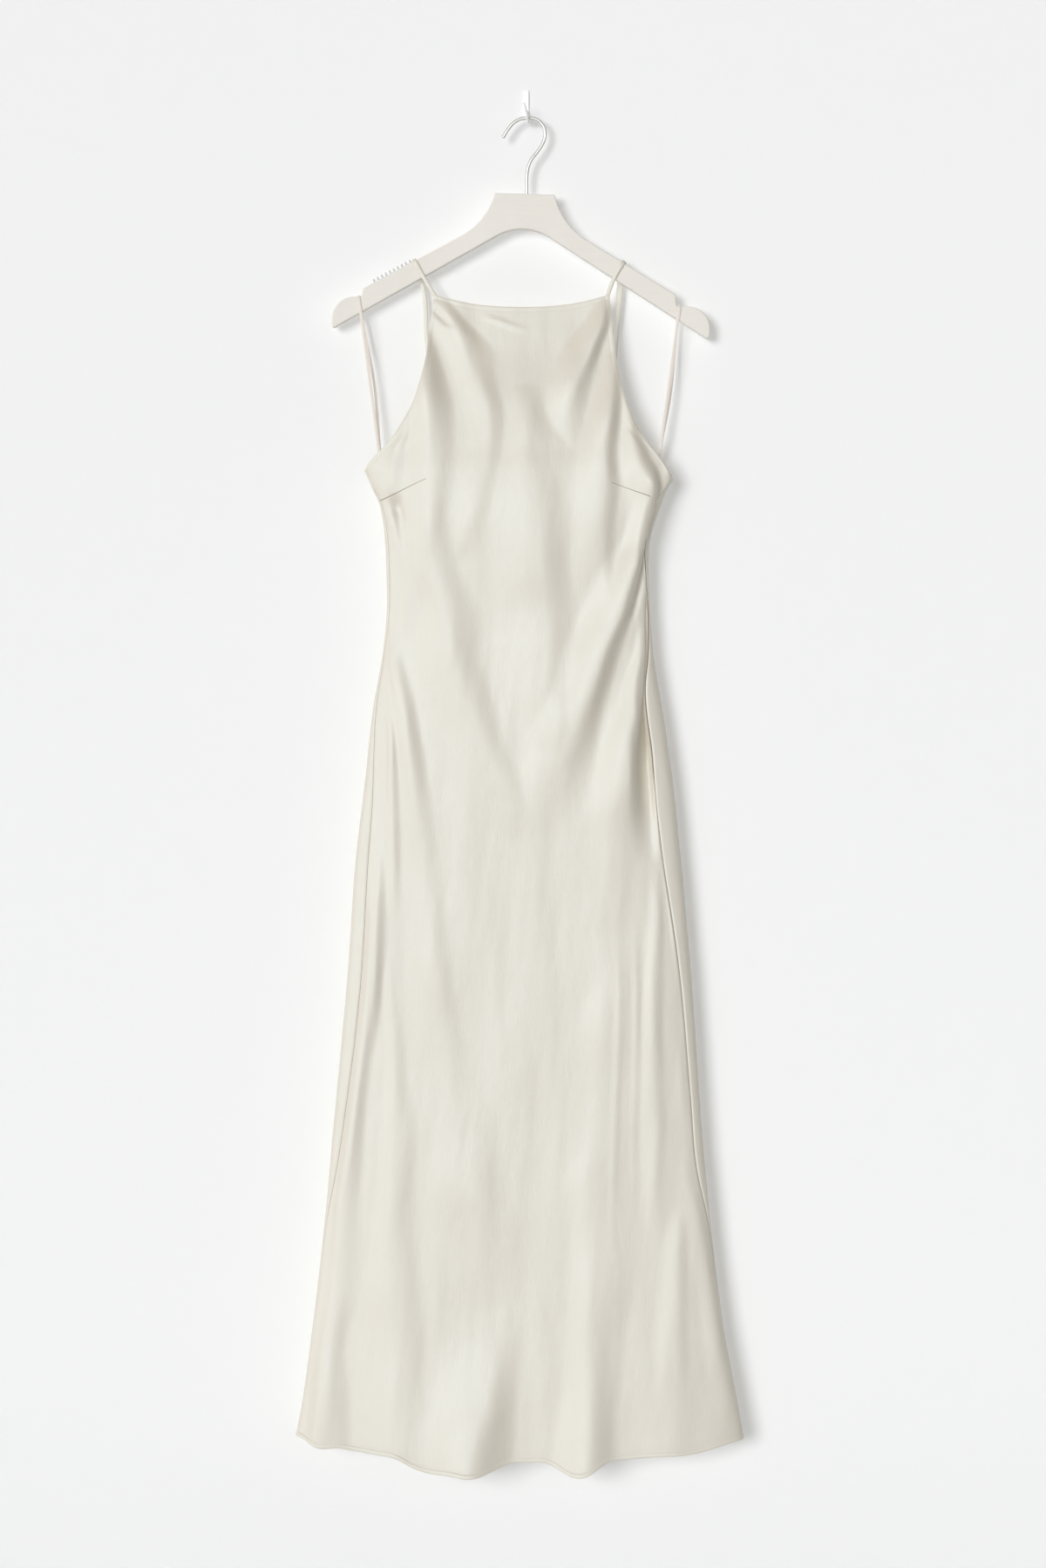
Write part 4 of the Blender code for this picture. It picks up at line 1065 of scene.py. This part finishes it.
def raise_surface(tree, shader, heights):
    """Bump from several values, each with its own height in metres."""
    normal = None
    for value, distance in heights:
        inputs = {"Height": value, "Distance": distance, "Strength": 1.0}
        if normal is not None:
            inputs["Normal"] = normal
        normal = add_node(tree, "Bump", inputs).outputs["Normal"]
    tree.links.new(normal, shader.inputs["Normal"])


def satin_finish(name, strength=1.0):
    """Satin: fine upright slubs, a thread weave under them and a soft crumple of a given strength."""
    material, tree, shader = start_material(name, SATIN, 0.46)
    run = own_run(tree)
    slub = speckle(tree, run, (620, 62, 1), 3.0)
    thread_and_seam_shade = speckle(tree, run, (2400, 900, 1), 1.0)
    crumple = speckle(tree, run, (60, 22, 1), 3.0, 0.35)
    patch = speckle(tree, run, (19, 7, 1), 2.0, 0.2)
    mixed = add_node(tree, "Mix", {"Factor": 0.35, "A": patch, "B": slub}, data_type="FLOAT")
    tinted(tree, shader, SATIN, mixed.outputs["Result"], (0.965, 0.957, 0.945), (1.015, 1.015, 1.02))
    rough_range(tree, shader, slub, 0.43, 0.50)
    raise_surface(tree, shader, [(crumple, 0.0006 * strength), (slub, 0.00008), (thread_and_seam_shade, 0.00002)])
    set_sockets(shader, IOR=1.6, Specular_IOR_Level=1.0, Specular_Tint=(0.76, 0.93, 1.0, 1.0),
                Anisotropic=0.4, Sheen_Weight=0.06, Sheen_Roughness=0.4)
    threads = add_node(tree, "Tangent", direction_type="UV_MAP", uv_map="run").outputs["Tangent"]
    tree.links.new(threads, shader.inputs["Tangent"])
    return material


def ribbon_finish():
    """Narrow ribbon with fine ribs across it."""
    material, tree, shader = start_material("ribbon", RIBBON, 0.5)
    run = own_run(tree)
    ribs = add_node(tree, "TexWave", {"Vector": run, "Scale": 260.0, "Distortion": 0.6},
                    bands_direction="Y").outputs["Fac"]
    fibre = speckle(tree, run, (3000, 400, 1))
    tinted(tree, shader, RIBBON, fibre, (0.93, 0.92, 0.91), (1.03, 1.03, 1.03))
    rough_range(tree, shader, fibre, 0.45, 0.58)
    raise_surface(tree, shader, [(ribs, 0.00006), (fibre, 0.00003)])
    set_sockets(shader, Sheen_Weight=0.15)
    return material


def painted_seam_shade_finish():
    """Painted shade of a seam's groove: a dark line, with a twist like yarn."""
    material, tree, shader = start_material("thread_and_seam_shade", PAINTED_SEAM_SHADE, 0.7)
    twist = speckle(tree, own_run(tree), (900, 700, 1), 2.0, 0.6)
    tinted(tree, shader, PAINTED_SEAM_SHADE, twist, (0.8, 0.8, 0.8), (1.2, 1.2, 1.2))
    rough_range(tree, shader, twist, 0.6, 0.8)
    raise_surface(tree, shader, [(twist, 0.00005)])
    return material


def paint_finish(name, colour):
    """Matte paint on wood: a faint grain along the arms and an orange-peel surface."""
    material, tree, shader = start_material(name, colour, 0.6)
    place = add_node(tree, "TexCoord").outputs["Object"]
    grain = speckle(tree, place, (40, 300, 420), 3.0)
    peel = speckle(tree, place, (900, 900, 900))
    tone = speckle(tree, place, (22, 22, 22))
    mixed = add_node(tree, "Mix", {"Factor": 0.4, "A": tone, "B": grain}, data_type="FLOAT")
    tinted(tree, shader, colour, mixed.outputs["Result"], (0.965, 0.96, 0.95), (1.02, 1.02, 1.02))
    rough_range(tree, shader, peel, 0.52, 0.66)
    raise_surface(tree, shader, [(grain, 0.00010), (peel, 0.00005)])
    set_sockets(shader, Specular_IOR_Level=0.4)
    return material


def wire_finish():
    """Drawn steel wire: fine lines along it and faint scuffs."""
    material, tree, shader = start_material("drawn_wire", STEEL, 0.45)
    run = own_run(tree)
    lines = speckle(tree, run, (5200, 90, 1))
    scuffs = speckle(tree, run, (700, 160, 1), 3.0)
    tinted(tree, shader, STEEL, scuffs, (0.9, 0.9, 0.9), (1.06, 1.06, 1.06))
    rough_range(tree, shader, lines, 0.38, 0.52)
    raise_surface(tree, shader, [(lines, 0.00002)])
    set_sockets(shader, Metallic=1.0)
    return material


def gloss_finish():
    """White gloss paint with a slightly uneven coat."""
    material, tree, shader = start_material("white_gloss", WHITE, 0.3)
    place = add_node(tree, "TexCoord").outputs["Object"]
    coat = speckle(tree, place, (600, 600, 600))
    tone = speckle(tree, place, (90, 90, 90))
    tinted(tree, shader, WHITE, tone, (0.97, 0.97, 0.965), (1.01, 1.01, 1.01))
    rough_range(tree, shader, coat, 0.24, 0.36)
    raise_surface(tree, shader, [(coat, 0.00003)])
    set_sockets(shader, Coat_Weight=0.2)
    return material


# Pieces

def on_root(piece, slot, *nodes):
    """Ride on the one body and stand for CAD nodes, which are hidden; the slot is not used."""
    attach(piece, "root")
    if nodes:
        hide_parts(*nodes)
    return piece


def make_dress(satin):
    """Front and back as thin shells on the hanging form."""
    outer, inner, distance = cloth_grids(front_rows(), FRONT_FOLDS, SEAM_FOLDS, NECK_DROP, FRONT_START)
    front = on_root(thin_shell("front_cloth", outer, inner, distance, satin), "satin", "front_panel")
    outer, inner, distance = cloth_grids(back_rows(), BACK_FOLDS, {}, UNDERARM_DROP, BACK_START)
    back = on_root(thin_shell("back_cloth", outer, inner, distance, satin), "satin", "back_panel")
    return front, back


def front_depth(x, drop):
    """Depth of the front's outer face at a place, away from its edges."""
    depth = surface_depth(x, drop, 1, FRONT_FOLDS | SEAM_FOLDS, 0.0)
    return depth + ripple_height(x, drop, FRONT_START)


def make_darts(thread_and_seam_shade):
    """Bust darts: a tapering dark line of painted shade, half sunk in the cloth, from each side seam to
    the bust.
    """
    for name, spots in DARTS.items():
        x, drop = route_curve(spots, DART_SPACING).T
        slope = np.degrees(np.arctan2(np.gradient(drop), np.gradient(x)))
        route = np.stack([x, drop, front_depth(x, drop), 90 - slope], axis=1)
        taper = np.linspace(DART_WIDTH, DART_TIP_WIDTH, len(x))
        on_root(swept(name, route, taper, DART_DEPTH, thread_and_seam_shade, tip=DART_DOME), "satin")


def make_seams(thread_and_seam_shade):
    """Side seams: a sunk dark line of painted shade between front and back, widest where a fold pulls it
    open into a shadow gap.
    """
    for seam in SEAM_LINES:
        drop = np.arange(seam.top, seam.bottom, SEAM_STEP)
        x, depth, lean_x, lean_depth = ring_point(seam_angle(drop, seam.side), drop)
        sunk_x, sunk_depth = x - lean_x * SEAM_SUNK, depth - lean_depth * SEAM_SUNK
        route = np.stack([sunk_x, drop, sunk_depth, np.zeros_like(drop)], axis=1)
        wide = SEAM_WIDTH + seam.wider * np.exp(-((drop - SEAM_WIDEST_DROP) / SEAM_WIDEST_RUN) ** 2)
        on_root(swept(seam.name, route, wide, SEAM_DEPTH, thread_and_seam_shade, tip=SEAM_DOME), "satin")


def make_straps_and_loops(satin, ribbon):
    """Turned straps, a little wider behind the hanger, and ribbon loops, on their routes."""
    for strap in STRAPS:
        route = strap_route(strap)
        behind = ease((HANGER_BACK + STRAP_BEHIND - route[:, 2]) / STRAP_BEHIND_RUN)
        wide = STRAP_WIDTH - STRAP_SLIMMER + (strap.behind - STRAP_WIDTH) * behind
        piece = swept(strap.name + "_tube", route, wide, STRAP_THICK - STRAP_THINNER, satin, STRAP_POWER)
        on_root(piece, "satin", strap.name)
    for loop in LOOPS:
        route = loop_route(loop)
        thick = LOOP_THICK - LOOP_THINNER
        piece = swept(loop.name + "_ribbon", route, LOOP_WIDTH, thick, ribbon, LOOP_POWER)
        on_root(piece, "tape", loop.name)


def make_hanger(paint, grip_painted_shade):
    """Flat hanger with rounded edges, and the toothed grip on its left arm, painted grey as shade between
    its teeth.
    """
    corners = hanger_corners(1, NOTCH_RIGHT) + [ARCH_CORNER] + hanger_corners(-1, NOTCH_LEFT)[::-1]
    body = rounded_slab("hanger_body", corners, from_hanger, HANGER_BACK, HANGER_THICK, HANGER_EDGE, paint)
    on_root(body, "painted_hanger", "hanger")
    back = HANGER_BACK + (HANGER_THICK - GRIP_THICK) / 2
    teeth = grip_corners()
    grip = rounded_slab("hanger_grip", teeth, from_hanger, back, GRIP_THICK, GRIP_EDGE, grip_painted_shade)
    on_root(grip, "painted_hanger")


def make_hooks(wire, gloss):
    """Wire hook of the hanger, and the plate and prong of the wall hook."""
    bends = [(spot.x, spot.drop, WIRE_DEPTH) for spot in WIRE_ROUTE]
    route = level_route([wire_foot(WIRE_SOCKET), wire_foot(0)] + bends, WIRE_SPACING)
    hook = swept("wire_hook", route, WIRE_WIDTH, WIRE_WIDTH, wire, tip=WIRE_DOME)
    on_root(hook, "wire", "hanger_hook")
    right, low = PLATE_WIDTH / 2, PLATE_HEIGHT / 2
    outline = [(right, -low), (right, low), (-right, low), (-right, -low)]
    corners = [Corner(x, drop, PLATE_RADIUS) for x, drop in outline]
    plate = rounded_slab("wall_hook_plate", corners, as_it_is, 0.0, PLATE_THICK, PLATE_EDGE, gloss)
    on_root(plate, "white_paint", "wall_hook")
    route = level_route(PRONG_ROUTE, PRONG_SPACING)
    prong = swept("wall_hook_prong", route, PRONG_WIDTH, PRONG_WIDTH, gloss, tip=PRONG_DOME)
    on_root(prong, "white_paint")


# Room, light and camera

def stage_corners(low, high):
    """Corners of a rectangle as wide as the room, from a low to a high side."""
    return [(-ROOM_HALF, low), (ROOM_HALF, low), (ROOM_HALF, high), (-ROOM_HALF, high)]


def stage_plane(name, corners, material):
    """One flat stage surface."""
    mesh = bpy.data.meshes.new(name)
    mesh.from_pydata(corners, [], [(0, 1, 2, 3)])
    mesh.materials.append(material)
    add_object(name, mesh)


def wall_material():
    """Plain pale wall that is see-through from behind and for light that comes from there."""
    material, tree, shader = start_material("pale_wall", PALE_WALL, 0.9)
    set_sockets(shader, Specular_IOR_Level=0.1)
    back = add_node(tree, "NewGeometry").outputs["Backfacing"]
    shadow = add_node(tree, "LightPath").outputs["Is Shadow Ray"]
    either = add_node(tree, "Math", {0: back, 1: shadow}, operation="MAXIMUM").outputs["Value"]
    clear = add_node(tree, "BsdfTransparent").outputs["BSDF"]
    mixed = add_node(tree, "MixShader", {"Fac": either, 1: shader.outputs["BSDF"], 2: clear})
    tree.links.new(mixed.outputs["Shader"], tree.nodes["Material Output"].inputs["Surface"])
    return material


def add_sun(light):
    """Soft light from far away, turned to shine along its way, as wide as its angle in degrees."""
    data = bpy.data.lights.new(light.name, "SUN")
    data.angle = math.radians(light.angle)
    data.energy = light.strength
    data.color = light.colour
    data.use_shadow = light.shadow
    item = add_object(light.name, data)
    item.visible_glossy = light.gloss
    item.visible_diffuse = light.glow
    x, y, z = light.way
    item.rotation_euler = (math.atan2(math.hypot(x, y), -z), 0, math.atan2(y, x) - math.pi / 2)


def make_room():
    """Wall, floor, lights, sky and camera."""
    wall = [(x, WALL_GAP, z) for x, z in stage_corners(FLOOR_HEIGHT, WALL_TOP)]
    stage_plane("wall", wall, wall_material())
    floor = [(x, y, FLOOR_HEIGHT) for x, y in stage_corners(FLOOR_FRONT, ROOM_HALF)]
    stage_plane("floor", floor, start_material("pale_floor", PALE_FLOOR, 0.8)[0])
    for light in LIGHTS:
        add_sun(light)
    sky = bpy.data.worlds.new("room")
    bpy.context.scene.world = sky
    sky.use_nodes = True
    glow = sky.node_tree.nodes["Background"]
    glow.inputs["Color"].default_value = (*SKY, 1.0)
    glow.inputs["Strength"].default_value = SKY_STRENGTH
    view = bpy.context.scene.view_settings
    view.view_transform = "Standard"
    view.look = "None"
    data = bpy.data.cameras.new("camera")
    data.sensor_width = CAMERA_SENSOR
    data.lens = CAMERA_LENS
    camera = add_object("camera", data)
    camera.location = CAMERA_PLACE
    camera.rotation_euler = (math.pi / 2, 0, 0)
    bpy.context.scene.camera = camera


make_room()
satin = satin_finish("satin")
strap_satin = satin_finish("strap_satin", 0.2)
front, back = make_dress(satin)
# The dart and seam lines are dark painted shade of their grooves, not thread
thread_and_seam_shade = painted_seam_shade_finish()
make_darts(thread_and_seam_shade)
make_seams(thread_and_seam_shade)
make_straps_and_loops(strap_satin, ribbon_finish())
# The grip's grey stands for the shade between its teeth: painted shade
make_hanger(paint_finish("cream_paint", CREAM_PAINT), paint_finish("grip_painted_shade", GRIP_PAINTED_SHADE))
make_hooks(wire_finish(), gloss_finish())
